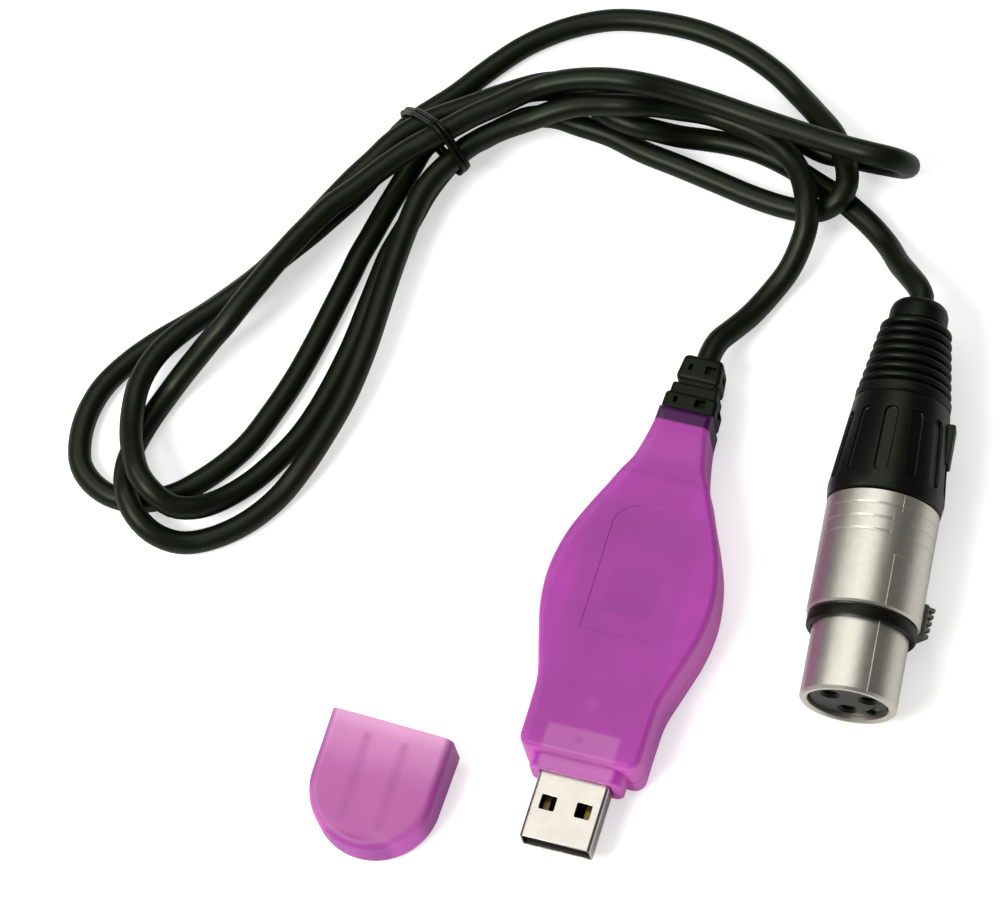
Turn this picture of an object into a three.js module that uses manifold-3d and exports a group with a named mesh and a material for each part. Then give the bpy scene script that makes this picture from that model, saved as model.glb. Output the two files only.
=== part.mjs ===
// A lighting interface: a translucent dongle with its plug bare, its cap lying beside it, and a tied lead
// that ends in a round three-pole connector. Millimetres, +Z up, the plug points to -Y. The origin is the
// centre of the lower shell's flat underside.
import * as THREE from "three";
import { mergeVertices } from "three/addons/utils/BufferGeometryUtils.js";
import Module from "manifold-3d";

const wasm = await Module();
wasm.setup();

// Shared sizes
const seatGap = 0.3;
const overrun = 2;
const mergeReach = 1e-4;
const leastRounding = 0.01;
const roundSteps = 3;
const rodSides = 12;
const quarterTurn = Math.PI / 2;
const fullTurn = Math.PI * 2;

// Dongle shells
const bodyLength = 63.6;
const bodyHalfWidth = 14.3;
const bodyHeight = 11.5;
const bodyWall = 1.3;
const partingHeight = 4.6;
const partingGap = 0.2;
const bodyTopRadius = 1.1;
const bodyUnderRadius = 1.2;
const bodyCornerRadius = 2;
const leastCornerRadius = 0.3;
const bodySideSteps = 22;
// Half widths along the dongle, as shares of its length from the front and of its widest half width
const bodySideShares = [
  [0.032, 0.717], [0.126, 0.72], [0.189, 0.734], [0.283, 0.846], [0.377, 0.958], [0.456, 1],
  [0.519, 0.986], [0.597, 0.916], [0.676, 0.783], [0.755, 0.622], [0.802, 0.531], [0.841, 0.44],
  [0.88, 0.392], [0.959, 0.329], [1, 0.322],
];
const bodyFrontY = -bodyLength / 2;
const bodyNeckY = bodyLength / 2;

// Collar round the plug
const collarWidth = 15.8;
const collarHeight = 7.6;
const collarReach = 2.5;
const collarCornerRadius = 2;

// Label recess in the upper shell, with an arched end
const labelHalfWidth = 6.1;
const labelFrontShare = 0.343;
const labelStraightEndShare = 0.645;
const labelArch = 4.4;
const labelArchSteps = 12;
const labelDepth = 0.35;
const labelFrontY = bodyFrontY + labelFrontShare * bodyLength;
const labelStraightEndY = bodyFrontY + labelStraightEndShare * bodyLength;

// Locating peg under the upper shell
const pegX = -1.3;
const pegFromFront = 11.6;
const pegRadius = 1.5;
const pegBoreRadius = 0.7;
const pegY = bodyFrontY + pegFromFront;

// Plug
const plugWidth = 12;
const plugHeight = 4.5;
const plugLength = 19.3;
const plugExposed = 11.5;
const plugSheet = 0.3;
const plugCornerRadius = 0.6;
const plugZ = 5.8;
const plugClearance = 0.3;
const plugTipY = bodyFrontY - collarReach - plugExposed;
const plugRearY = plugTipY + plugLength;
const windowSide = 2.5;
const windowWidth = 2.5;
const windowX = 3;
const windowFromTip = 6.4;

// Plug tongue and its contacts
const tongueSideGap = 0.2;
const tongueHeight = 1.9;
const tongueFromTip = 0.6;
const tongueBlockLength = 5;
const contactWidth = 1;
const contactSheet = 0.2;
const contactFromTip = 1.6;
const contactTail = 1.4;
const contactClearance = 0.1;
const innerContactX = 1;
const outerContactX = 3.5;

// Circuit board, its places along the dongle as shares of the dongle's length from the front
const boardThickness = 1.6;
const boardFloorGap = 0.4;
const boardHalfWidth = 8.4;
const boardNeckHalfWidth = 5.2;
const boardFrontGap = 0.3;
const boardStraightEndShare = 0.626;
const boardNeckShare = 0.752;
const boardEndShare = 0.818;
const solderGap = 0.05;

// Strain relief, with a root in the dongle's neck and two ribbed segments outside
const reliefHalfHeight = 3.9;
const reliefRootHalfWidth = 3.3;
const reliefRootHalfHeight = 3.45;
const reliefRootLength = 4.4;
const reliefWideHalfWidth = 4.7;
const reliefWideEndHalfWidth = 4.2;
const reliefWideLength = 5.3;
const reliefGroove = 0.6;
const reliefGrooveHalfWidth = 3.1;
const reliefSlimHalfWidth = 3.9;
const reliefSlimEndHalfWidth = 3.4;
const reliefSlimLength = 4.7;
const reliefEndHalfHeight = 3.4;
const reliefCornerRadius = 0.7;
const reliefSlotDepth = 1.1;
const reliefSlotLength = 1.1;
const reliefSlotInset = 0.9;

// Cap
const capX = -31.4;
const capY = -33.2;
const capTurn = THREE.MathUtils.degToRad(-2);
const capHalfWidth = 10.6;
const capLength = 21.2;
const capHeight = 10;
const capEndHeight = 7.4;
const capWall = 1.15;
const capEdgeRadius = 1.6;
const capArcSteps = 20;
const capRibWidth = 1;
const capRibSpacing = 6.5;
const capRibHeight = 0.6;
const capRibFromMouth = 2.8;
const capRibLength = 14;

// Cable
const cableDiameter = 4;
const cableRadius = cableDiameter / 2;
const cableSides = 6;
const cableClearance = 0.3;
const cableStepMost = 6;
const cableTurnMost = THREE.MathUtils.degToRad(18);
const samplesPerPoint = 24;
const selfGapReach = 14;
const selfGapStride = 4;
const cutSamples = 2;

// Round connector, measured along its axis from its face
const connectorX = 39.8;
const connectorY = -12;
const connectorZ = 9.8;
const connectorTurn = THREE.MathUtils.degToRad(5.55);
const connectorSegments = 30;
const noseRadius = 8;
const noseBore = 6.7;
const noseLength = 12.4;
const noseChamfer = 0.5;
const sealLength = 2;
const sealRadius = 9.1;
const barrelRadius = 9.4;
const barrelChamfer = 0.3;
const barrelEnd = 34.8;
const barrelRearBore = 7.5;
const barrelRearBoreStart = 27;
const insertFront = 0.8;
const insertEnd = 14.4;
const socketCircle = 3.6;
const socketMouthRadius = 1.2;
const socketMouthDepth = 1.4;
const socketRadius = 1.7;
const contactRadius = 1.4;
const contactBore = 1.05;
const contactBoreEnd = 14;
const contactEnd = 20;
const solderCupBore = 0.9;
const solderCupDepth = 2.5;
const socketSides = 12;
const wireGatherShare = 0.25;

// Connector latch, on the lower side of the nose
const latchAngle = THREE.MathUtils.degToRad(36);
const latchTop = 6.4;
const latchThickness = 1.1;
const latchFront = 1.4;
const latchRear = 26;
const latchWidth = 2.6;
const latchHookStart = 4.4;
const latchHookEnd = 6.8;
const latchHookRadius = 8.6;
const latchTabStart = 15;
const latchTabEnd = 21;
const latchTabWidth = 5;
const latchTabRadius = 11.2;
const latchGrooveFloor = 4.1;
const springTop = 4.75;
const springThickness = 0.3;
const springEnd = 24;

// Cable clutch, bushing and boot of the connector
const chuckStart = 28.5;
const chuckStraightEnd = 37;
const chuckEnd = 41.7;
const chuckEndRadius = 5.7;
const bushingFrontRadius = 9.5;
const bushingWideRadius = 9.75;
const bushingWideAt = 37.2;
const bushingEnd = 53.1;
const bushingEndRadius = 8.05;
const fluteCount = 12;
const fluteTurn = -3.5;
const fluteStart = 37.5;
const fluteEnd = 50;
const fluteWidth = 2.4;
const fluteDepth = 0.5;
const keyStart = 44;
const keyEnd = 51;
const keyWidth = 3;
const keyReach = 0.6;
const bootBandEnd = 55;
const bootBandRadius = 8;
const bootRibCount = 7;
const bootRibPitch = 1.8;
const bootRibWidth = 1.1;
const bootLastRibRadius = 6.1;
const bootGrooveDepth = 1.2;
const bootTailStart = 68;
const bootEnd = 72;
const bootTailRadius = 5.05;
const bootTailEndRadius = 4.4;
const bootSegments = 22;

// Tie: two turns of thin wire round the six strands
const tieX = -55.6;
const tieY = 71.6;
const tieDirection = new THREE.Vector2(-0.567, -0.82).normalize();
const tieWireDiameter = 0.9;
const tieGap = 0.34;
const tieTurns = 2;
const tiePitch = 1.5;
const tieSides = 6;
const tieCornerSteps = 3;
// Outer strands where the tie crosses them: across the bundle and up, anticlockwise from the lower left
const tiedStrands = [[-9.1, 3.3], [1.45, 3.3], [3.5, 7.85], [-0.1, 11.7], [-5.45, 7.8]];

// The cable's route, chosen by hand, from the strain relief to the tie
const routeToInterface = [
  [0, 43, 5.8], [0.1, 45, 5.7], [0.6, 47.6, 5.3], [2.2, 50.8, 4.2], [4, 54.5, 2.9], [6, 59.2, 2.3],
  [8.3, 63.9, 3.9], [9.4, 68.4, 5.9], [9.6, 71.4, 7.4], [8.8, 74.5, 8.1], [7.2, 78.2, 7.7],
  [4.3, 82.4, 6.8], [-0.5, 85.7, 6.5], [-5.9, 87.3, 6.5], [-12.6, 88.1, 6.7], [-17.4, 87.3, 7.8],
  [-21.5, 86.4, 9], [-24.7, 84.9, 10.7], [-29.6, 83.9, 10.8], [-33.8, 82.7, 10.8], [-37.4, 81.2, 10.3],
  [-41.9, 78.9, 9], [-46.3, 76.3, 8.4], [-50.2, 73.1, 7.9], [-53.2, 68.9, 7.8],
];
// The loops of the bundle, from the tie's first strand to its last
const routeOfHank = [
  [-55.7, 64.2, 7.5], [-56.8, 60.4, 7], [-57.3, 55.1, 6.5], [-57.5, 48.5, 6.4], [-57.5, 42.6, 6.3],
  [-57.5, 32.2, 5.8], [-58.4, 22.6, 4.9], [-60.4, 13.6, 4.3], [-61.8, 9.2, 3.7], [-64.5, 3.5, 2.3],
  [-68.1, -1.8, 2], [-72.4, -5.8, 2], [-76.5, -8.2, 2.3], [-79.5, -9.1, 3.3], [-82.9, -8.9, 4.9],
  [-86.1, -7.2, 6.4], [-88.4, -4.6, 7], [-90.2, -1.1, 5.9], [-91.7, 3.1, 3.2], [-91.8, 7.1, 2.1],
  [-90.9, 11.8, 2], [-88.8, 17.7, 2.8], [-87.1, 20.7, 4.4], [-85.1, 23.6, 6.4], [-83.3, 26.2, 8.2],
  [-81.5, 28.8, 9.6], [-79.6, 32.8, 10.7], [-77.8, 37.2, 11], [-76, 42, 11], [-74.1, 46.5, 11],
  [-72.2, 50.4, 11], [-70.1, 54.2, 11], [-67.1, 58.1, 11], [-63.6, 63, 11.1], [-60.3, 67.2, 11.2],
  [-56.9, 70.4, 11.7], [-53.7, 73.6, 11.6], [-51.1, 76.2, 11.6], [-47.3, 79.3, 11.7], [-42.7, 83, 12.1],
  [-37, 85.5, 13.3], [-30.1, 86.9, 14.4], [-25, 87.3, 14.6], [-20.3, 88, 13.2], [-13.4, 88.1, 11.8],
  [-4.3, 87.2, 11.2], [4.9, 85.6, 12.2], [12.3, 84.2, 13.4], [17.6, 83.7, 13.9], [21.9, 84.4, 12.1],
  [23.6, 85.8, 8], [21.8, 87.2, 3.9], [17.4, 87.9, 2.1], [13.4, 87.9, 2], [7.9, 87.8, 2],
  [2.1, 89.5, 2], [-3.7, 90.8, 2], [-10.2, 91.8, 2], [-15.7, 92.1, 2.3], [-23.4, 91.3, 4.8],
  [-27.3, 90, 7.2], [-31.2, 88.7, 9.1], [-34.6, 88, 9.3], [-38.3, 87.7, 8.3], [-42.8, 86.9, 7.1],
  [-48.3, 83.9, 6.6], [-52, 81, 7.1], [-55.5, 78.2, 7.6], [-58.7, 75.8, 7.8], [-61.8, 73.2, 7.7],
  [-64.7, 69.7, 7.4], [-66.5, 66.7, 6.9], [-69.1, 62.4, 6.5], [-71.4, 57.6, 6.5], [-72.7, 54.7, 6.5],
  [-75.1, 49.3, 6.5], [-77.4, 44.4, 6.5], [-79.9, 39.7, 6.5], [-82.5, 35.9, 6.5], [-85, 32.6, 6.5],
  [-87.7, 29.4, 6.5], [-91.4, 23.6, 6.6], [-92.8, 19.5, 6.8], [-93.2, 15.4, 7], [-92.6, 10.9, 7.2],
  [-91.3, 6.6, 8], [-89.4, 2.7, 9.2], [-86.8, -1.2, 10], [-83.9, -3.4, 9.4], [-80.3, -4.5, 7.6],
  [-77.1, -3.5, 6.2], [-74.1, -0.6, 4], [-70.3, 4.5, 2.3], [-67.5, 9.1, 2], [-64.8, 14.5, 2],
  [-62.8, 21.3, 2], [-61.1, 32, 2], [-60.5, 41.9, 2], [-60.2, 47.7, 2], [-59.9, 51.7, 2],
  [-58.4, 58.5, 2.2], [-57.1, 64.1, 2.9], [-55.4, 68.7, 3.3], [-54.1, 71.5, 3.3], [-52.7, 74.1, 3.2],
  [-50.5, 76.4, 2.9], [-47.4, 79.9, 2.3], [-44, 82.7, 2], [-39.7, 83.7, 2], [-35, 83.2, 2],
  [-29.1, 82.5, 2], [-22.9, 80.8, 2], [-15.7, 79.5, 2], [-8.6, 78.1, 2], [-1.5, 76.7, 2],
  [4.1, 76, 2.2], [7.4, 75.9, 2.6], [10.4, 76, 3.9], [12.9, 77, 5.8], [14.1, 79, 6.7],
  [13.9, 81.7, 6.8], [12.6, 84.9, 6.8], [9.6, 89.2, 6.4], [4.9, 93.7, 4.2], [0.9, 97.2, 2.4],
  [-4.5, 100.9, 2], [-11.9, 104.1, 2], [-19.3, 105.7, 2], [-26.1, 105.9, 2], [-32.3, 105.2, 2],
  [-36.2, 104.2, 2], [-41.2, 101.9, 2], [-45.4, 99.1, 2], [-49.2, 95.7, 2], [-52.2, 92.1, 2],
  [-54.9, 88.4, 2], [-57.7, 83.8, 2.6], [-60.2, 80.4, 3.1], [-62.5, 77.5, 3.3], [-64.8, 74, 3.2],
  [-65.9, 70.8, 2.9], [-66.8, 67.5, 2.5], [-68.2, 63.9, 2], [-70, 60.1, 2], [-72.3, 56.1, 2],
  [-74.5, 52.4, 2], [-76.9, 48.8, 2], [-79.2, 45.3, 2], [-81.3, 41.9, 2], [-83.6, 38.6, 2],
  [-88.2, 32.7, 2], [-94.2, 26.2, 2], [-98.3, 20.7, 2], [-101, 15.2, 2], [-101.9, 9.2, 2],
  [-101.2, 4.2, 2], [-99.7, 0.8, 2], [-96.6, -1.9, 2], [-92.1, -3.4, 2], [-86.8, -2.8, 2],
  [-81.9, -0.2, 2], [-78.9, 2.7, 2], [-75.5, 7, 2], [-72.8, 11.7, 2], [-70.7, 17.8, 2],
  [-68.8, 24.8, 2], [-67.5, 31.8, 2], [-66.4, 39.6, 2], [-65.5, 46.2, 2], [-65.1, 49.7, 2],
  [-64.2, 54.4, 2], [-63.3, 59.3, 2], [-62.1, 64.1, 2.5], [-61, 68.4, 3], [-60, 72.3, 3.3],
];
// From the tie to the connector's boot
const routeToConnector = [
  [-58.3, 74.9, 3.3], [-56.5, 77.3, 3.1], [-54.4, 80.3, 2.8], [-52, 82.7, 2.3], [-48.9, 85.6, 2],
  [-45, 87.9, 2], [-40.3, 88.8, 2.3], [-34.2, 86.6, 5], [-29, 84.2, 6.2], [-24.8, 83.4, 6.2],
  [-20.9, 83.6, 5.3], [-17.1, 84.5, 3.2], [-12.9, 85.4, 2.1], [-8.5, 85.7, 2], [-3.4, 85.4, 2],
  [2.6, 83.9, 2], [8.3, 81.7, 2], [12.4, 80.1, 2], [15.9, 78.2, 2], [19.6, 75.9, 2],
  [23.3, 72.7, 2.8], [26.3, 68.9, 5.2], [29, 65.9, 7.8], [31.4, 63.4, 9.4], [32.6, 61.6, 9.8],
  [32.8, 60, 9.8],
];

// Materials
const purpleShell = { color: 0xa84b9d, roughness: 0.3, metalness: 0, transparent: true, opacity: 0.8 };
const palePlastic = { color: 0xc87aad, roughness: 0.3, metalness: 0, transparent: true, opacity: 0.7 };
const nickel = { color: 0xb4aea0, roughness: 0.32, metalness: 1 };
const steel = { color: 0xb9bcc0, roughness: 0.3, metalness: 1 };
const gold = { color: 0xc9a24b, roughness: 0.3, metalness: 1 };
const blackPlastic = { color: 0x1a1a1b, roughness: 0.55, metalness: 0 };
const blackRubber = { color: 0x171717, roughness: 0.7, metalness: 0 };
const cableJacket = { color: 0x1d1d19, roughness: 0.45, metalness: 0 };
const greenBoard = { color: 0x1f4a2c, roughness: 0.5, metalness: 0 };
const palePart = { color: 0xd9d6cc, roughness: 0.5, metalness: 0 };
const wireColors = [0x9c2a24, 0x2a2a2a, 0xc9c6bd];

const device = new THREE.Group();

function addPiece(parent, name, geometry, look) {
  const mesh = new THREE.Mesh(geometry, new THREE.MeshStandardMaterial(look));
  mesh.name = name;
  parent.add(mesh);
  return mesh;
}

// A closed geometry as a solid that can be cut and joined
function toSolid(geometry) {
  const bare = geometry.clone();
  bare.deleteAttribute("normal");
  bare.deleteAttribute("uv");
  const merged = mergeVertices(bare, mergeReach);
  const corners = [];
  const index = merged.index.array;
  for (let k = 0; k < index.length; k += 3) {
    const [a, b, c] = [index[k], index[k + 1], index[k + 2]];
    if (a !== b && b !== c && c !== a) corners.push(a, b, c);
  }
  const vertProperties = merged.attributes.position.array;
  return new wasm.Manifold(new wasm.Mesh({ numProp: 3, vertProperties, triVerts: new Uint32Array(corners) }));
}

function toGeometry(solid) {
  const mesh = solid.getMesh();
  const geometry = new THREE.BufferGeometry();
  geometry.setAttribute("position", new THREE.BufferAttribute(mesh.vertProperties, mesh.numProp));
  geometry.setIndex(new THREE.BufferAttribute(mesh.triVerts, 1));
  return geometry;
}

function geometryOf(positions, index) {
  const geometry = new THREE.BufferGeometry();
  geometry.setAttribute("position", new THREE.Float32BufferAttribute(positions, 3));
  geometry.setIndex(index);
  return geometry;
}

// A closed solid through outlines of as many points each, stacked upwards
function loftRings(rings) {
  const count = rings[0].outline.length;
  const positions = [];
  const index = [];
  for (const ring of rings) {
    for (const point of ring.outline) positions.push(point.x, point.y, ring.z);
  }
  for (let r = 0; r + 1 < rings.length; r++) {
    for (let k = 0; k < count; k++) {
      const next = (k + 1) % count;
      const low = r * count;
      const high = low + count;
      index.push(low + k, low + next, high + next, low + k, high + next, high + k);
    }
  }
  const last = (rings.length - 1) * count;
  for (const [a, b, c] of THREE.ShapeUtils.triangulateShape(rings[0].outline, [])) index.push(a, c, b);
  for (const [a, b, c] of THREE.ShapeUtils.triangulateShape(rings.at(-1).outline, [])) {
    index.push(last + a, last + b, last + c);
  }
  return geometryOf(positions, index);
}

function prism(outline, low, high) {
  return loftRings([{ outline, z: low }, { outline, z: high }]);
}

// A prism whose lower and upper edges are rounded; outlineAt gives the outline for an inset
function roundedPrism(outlineAt, low, high, lowRadius, highRadius) {
  const rings = [];
  const lowSteps = lowRadius > 0 ? roundSteps : 0;
  const highSteps = highRadius > 0 ? roundSteps : 0;
  for (let k = 0; k <= lowSteps; k++) {
    const turn = lowSteps ? (k / lowSteps) * quarterTurn : quarterTurn;
    const inset = lowRadius * (1 - Math.sin(turn));
    rings.push({ outline: outlineAt(inset), z: low + lowRadius * (1 - Math.cos(turn)) });
  }
  for (let k = 0; k <= highSteps; k++) {
    const turn = highSteps ? (k / highSteps) * quarterTurn : quarterTurn;
    const inset = highRadius * (1 - Math.cos(turn));
    rings.push({ outline: outlineAt(inset), z: high - highRadius * (1 - Math.sin(turn)) });
  }
  return loftRings(rings);
}

// A rectangle with rounded corners, anticlockwise, centred on a point
function roundedRectangle(halfWidth, halfHeight, radius, centreX = 0, centreY = 0) {
  const points = [];
  const corners = [[1, -1], [1, 1], [-1, 1], [-1, -1]];
  corners.forEach(([sideX, sideY], corner) => {
    for (let k = 0; k <= roundSteps; k++) {
      const turn = (corner - 1 + k / roundSteps) * quarterTurn;
      const x = sideX * (halfWidth - radius) + radius * Math.cos(turn);
      const y = sideY * (halfHeight - radius) + radius * Math.sin(turn);
      points.push(new THREE.Vector2(centreX + x, centreY + y));
    }
  });
  return points;
}

function box(fromX, toX, fromY, toY, fromZ, toZ) {
  const geometry = new THREE.BoxGeometry(toX - fromX, toY - fromY, toZ - fromZ);
  return geometry.translate((fromX + toX) / 2, (fromY + toY) / 2, (fromZ + toZ) / 2);
}

// Turns a geometry stacked along Z so that it runs along Y, at a height
function layAlongY(geometry, centreZ) {
  return geometry.rotateX(-quarterTurn).translate(0, 0, centreZ);
}

// A solid of revolution about local Y, from (radius, place) pairs
function turned(profile, segments) {
  const points = profile.map(([radius, place]) => new THREE.Vector2(radius, place));
  return new THREE.LatheGeometry(points, segments);
}

function rod(radius, from, to, segments) {
  return turned([[0, from], [radius, from], [radius, to], [0, to]], segments);
}

// Points and directions along a route, close enough to follow its bends
function sampleRoute(points) {
  const curve = new THREE.CatmullRomCurve3(points.map((p) => new THREE.Vector3(...p)), false, "centripetal");
  const count = (points.length - 1) * samplesPerPoint;
  const samples = [];
  for (let k = 0; k <= count; k++) {
    samples.push({ point: curve.getPoint(k / count), direction: curve.getTangent(k / count) });
  }
  return samples;
}

// The samples that carry a ring: the ends, and each one past the longest step or the largest turn
function pickStations(samples) {
  const stations = [samples[0]];
  let walked = 0;
  for (let k = 1; k < samples.length - 1; k++) {
    walked += samples[k].point.distanceTo(samples[k - 1].point);
    const turn = samples[k].direction.angleTo(stations.at(-1).direction);
    if (walked >= cableStepMost || turn >= cableTurnMost) {
      stations.push(samples[k]);
      walked = 0;
    }
  }
  stations.push(samples.at(-1));
  return stations;
}

// A closed tube of many flat sides through stations, its rings carried along without twist
function tubeThrough(stations, radius, sides) {
  const positions = [];
  const index = [];
  const up = new THREE.Vector3(0, 0, 1);
  let side = new THREE.Vector3().crossVectors(up, stations[0].direction).normalize();
  stations.forEach((station, ring) => {
    if (ring > 0) {
      const carry = new THREE.Quaternion();
      carry.setFromUnitVectors(stations[ring - 1].direction, station.direction);
      side = side.clone().applyQuaternion(carry);
    }
    const other = new THREE.Vector3().crossVectors(station.direction, side);
    for (let k = 0; k < sides; k++) {
      const turn = ((k + 0.5) / sides) * fullTurn;
      const corner = station.point.clone();
      corner.addScaledVector(side, radius * Math.cos(turn));
      corner.addScaledVector(other, radius * Math.sin(turn));
      positions.push(corner.x, corner.y, corner.z);
    }
  });
  for (let ring = 0; ring + 1 < stations.length; ring++) {
    for (let k = 0; k < sides; k++) {
      const next = (k + 1) % sides;
      const near = ring * sides;
      const far = near + sides;
      index.push(near + k, near + next, far + next, near + k, far + next, far + k);
    }
  }
  const last = (stations.length - 1) * sides;
  for (let k = 1; k + 1 < sides; k++) {
    index.push(0, k + 1, k);
    index.push(last, last + k, last + k + 1);
  }
  return geometryOf(positions, index);
}

// The least distance between the surfaces of strands that pass each other
function leastSelfGap(samples) {
  const coarse = samples.filter((sample, k) => k % selfGapStride === 0);
  let least = Infinity;
  const walked = [0];
  for (let k = 1; k < coarse.length; k++) {
    walked.push(walked[k - 1] + coarse[k].point.distanceTo(coarse[k - 1].point));
  }
  for (let a = 0; a < coarse.length; a++) {
    for (let b = a + 1; b < coarse.length; b++) {
      if (walked[b] - walked[a] < selfGapReach) continue;
      least = Math.min(least, coarse[a].point.distanceTo(coarse[b].point));
    }
  }
  return least - cableDiameter;
}

// The dongle's plan outline, drawn in by an inset, anticlockwise from the front right corner
function bodyOutline(inset) {
  const cornerRadius = Math.max(bodyCornerRadius - inset, leastCornerRadius);
  const sidePoints = bodySideShares.map(([along, across]) => {
    return new THREE.Vector2(across * bodyHalfWidth, bodyFrontY + along * bodyLength);
  });
  const side = new THREE.SplineCurve(sidePoints).getPoints(bodySideSteps);
  const right = [];
  for (let k = 0; k < roundSteps; k++) {
    const turn = (k / roundSteps) * quarterTurn;
    const x = side[0].x - inset - cornerRadius * (1 - Math.sin(turn));
    const y = bodyFrontY + inset + cornerRadius * (1 - Math.cos(turn));
    right.push(new THREE.Vector2(x, y));
  }
  const low = bodyFrontY + inset + cornerRadius;
  for (const point of side) {
    const y = THREE.MathUtils.clamp(point.y, low, bodyNeckY - inset);
    right.push(new THREE.Vector2(point.x - inset, y));
  }
  const left = right.map((point) => new THREE.Vector2(-point.x, point.y)).reverse();
  return [...right, ...left];
}

function barAlongY(halfWidth, halfHeight, radius, from, to, centreZ) {
  return layAlongY(prism(roundedRectangle(halfWidth, halfHeight, radius), from, to), centreZ);
}

// The dongle's whole casing, hollow, with its collar, plug passage and neck passage
function casing() {
  const outside = toSolid(roundedPrism(bodyOutline, 0, bodyHeight, bodyUnderRadius, bodyTopRadius));
  const collarEnd = bodyFrontY - collarReach;
  const collar = barAlongY(
    collarWidth / 2, collarHeight / 2, collarCornerRadius, collarEnd, bodyFrontY + bodyWall, plugZ,
  );
  const innerOutline = (inset) => bodyOutline(bodyWall + inset);
  const inside = roundedPrism(innerOutline, bodyWall, bodyHeight - bodyWall, 0, 0);
  const passage = barAlongY(
    plugWidth / 2 + plugClearance, plugHeight / 2 + plugClearance, plugCornerRadius,
    collarEnd - overrun, bodyFrontY + bodyWall + overrun, plugZ,
  );
  const neck = barAlongY(
    reliefRootHalfWidth + seatGap, reliefRootHalfHeight + seatGap, reliefCornerRadius,
    bodyNeckY - bodyWall - overrun, bodyNeckY + overrun, plugZ,
  );
  return outside.add(toSolid(collar)).subtract(toSolid(inside)).subtract(toSolid(passage))
    .subtract(toSolid(neck));
}

function labelOutline() {
  const points = [
    new THREE.Vector2(-labelHalfWidth, labelFrontY),
    new THREE.Vector2(labelHalfWidth, labelFrontY),
  ];
  for (let k = 0; k <= labelArchSteps; k++) {
    const turn = (k / labelArchSteps) * Math.PI;
    const x = labelHalfWidth * Math.cos(turn);
    points.push(new THREE.Vector2(x, labelStraightEndY + labelArch * Math.sin(turn)));
  }
  return points;
}

const boardZ = bodyWall + boardFloorGap;
const boardTop = boardZ + boardThickness;

function locatingPeg() {
  const top = bodyHeight - bodyWall / 2;
  const low = boardTop + seatGap;
  const outer = toSolid(rod(pegRadius, low, top, rodSides).rotateX(quarterTurn).translate(pegX, pegY, 0));
  const bore = toSolid(rod(pegBoreRadius, low - overrun, top - bodyWall, rodSides).rotateX(quarterTurn)
    .translate(pegX, pegY, 0));
  return { outer, bore };
}

function makeShells() {
  const whole = casing();
  const reach = bodyLength;
  const above = toSolid(box(-reach, reach, -reach, reach, partingHeight, bodyHeight + overrun));
  const below = toSolid(box(-reach, reach, -reach, reach, -overrun, partingHeight - partingGap));
  const peg = locatingPeg();
  const label = toSolid(prism(labelOutline(), bodyHeight - labelDepth, bodyHeight + overrun));
  const upper = whole.intersect(above).add(peg.outer).subtract(peg.bore).subtract(label);
  addPiece(device, "upper_shell", toGeometry(upper), purpleShell);
  addPiece(device, "lower_shell", toGeometry(whole.intersect(below)), purpleShell);
}

function makePlug() {
  const outer = barAlongY(plugWidth / 2, plugHeight / 2, plugCornerRadius, plugTipY, plugRearY, plugZ);
  const innerHalfWidth = plugWidth / 2 - plugSheet;
  const innerHalfHeight = plugHeight / 2 - plugSheet;
  const inner = barAlongY(
    innerHalfWidth, innerHalfHeight, plugCornerRadius / 2, plugTipY - overrun, plugRearY + overrun, plugZ,
  );
  let shell = toSolid(outer).subtract(toSolid(inner));
  for (const side of [-1, 1]) {
    const x = side * windowX;
    const y = plugTipY + windowFromTip;
    const cut = box(
      x - windowWidth / 2, x + windowWidth / 2, y - windowSide / 2, y + windowSide / 2,
      plugZ - plugHeight, plugZ + plugHeight,
    );
    shell = shell.subtract(toSolid(cut));
  }
  addPiece(device, "usb_plug_shell", toGeometry(shell), steel);

  const floor = plugZ - innerHalfHeight + solderGap;
  const halfWidth = innerHalfWidth - tongueSideGap;
  const tongueTop = floor + tongueHeight;
  const blockFront = plugRearY - tongueBlockLength;
  const front = box(-halfWidth, halfWidth, plugTipY + tongueFromTip, plugRearY, floor, tongueTop);
  const block = box(-halfWidth, halfWidth, blockFront, plugRearY, floor, plugZ + innerHalfHeight - solderGap);
  let tongue = toSolid(front).add(toSolid(block));
  const contactPlaces = [-outerContactX, -innerContactX, innerContactX, outerContactX];
  contactPlaces.forEach((x, k) => {
    const left = x - contactWidth / 2;
    const right = x + contactWidth / 2;
    const low = tongueTop + contactClearance;
    const high = low + contactSheet;
    const front = plugTipY + contactFromTip;
    const rear = plugRearY + contactTail;
    const tunnel = box(
      left - contactClearance, right + contactClearance, front - overrun, rear,
      tongueTop - contactClearance, high + contactClearance,
    );
    tongue = tongue.subtract(toSolid(tunnel));
    const strip = toSolid(box(left, right, front, rear, low, high));
    const leg = toSolid(box(left, right, rear - contactSheet, rear, boardTop + solderGap, high));
    addPiece(device, `usb_contact_${k + 1}`, toGeometry(strip.add(leg)), gold);
  });
  addPiece(device, "usb_plug_tongue", toGeometry(tongue), blackPlastic);
}

// Board parts: name, middle X, middle as a share of the dongle's length, half width, half length, height
const boardParts = [
  ["microcontroller", 0.6, 0.469, 3.5, 3.5, 1.1, blackPlastic],
  ["line_driver_chip", -4.6, 0.259, 2, 2.5, 1.5, blackPlastic],
  ["crystal_can", 4.6, 0.274, 1.9, 4.6, 3, steel],
  ["board_capacitor_1", 5.6, 0.579, 0.8, 1.2, 1, palePart],
  ["board_capacitor_2", -6.1, 0.538, 0.8, 1.2, 1, palePart],
  ["status_light", 2.9, 0.682, 0.8, 0.8, 0.9, palePart],
  ["wire_header", -1.6, 0.752, 3.4, 0.8, 2.2, blackPlastic],
];

function alongDongle(share) {
  return bodyFrontY + share * bodyLength;
}

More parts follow.
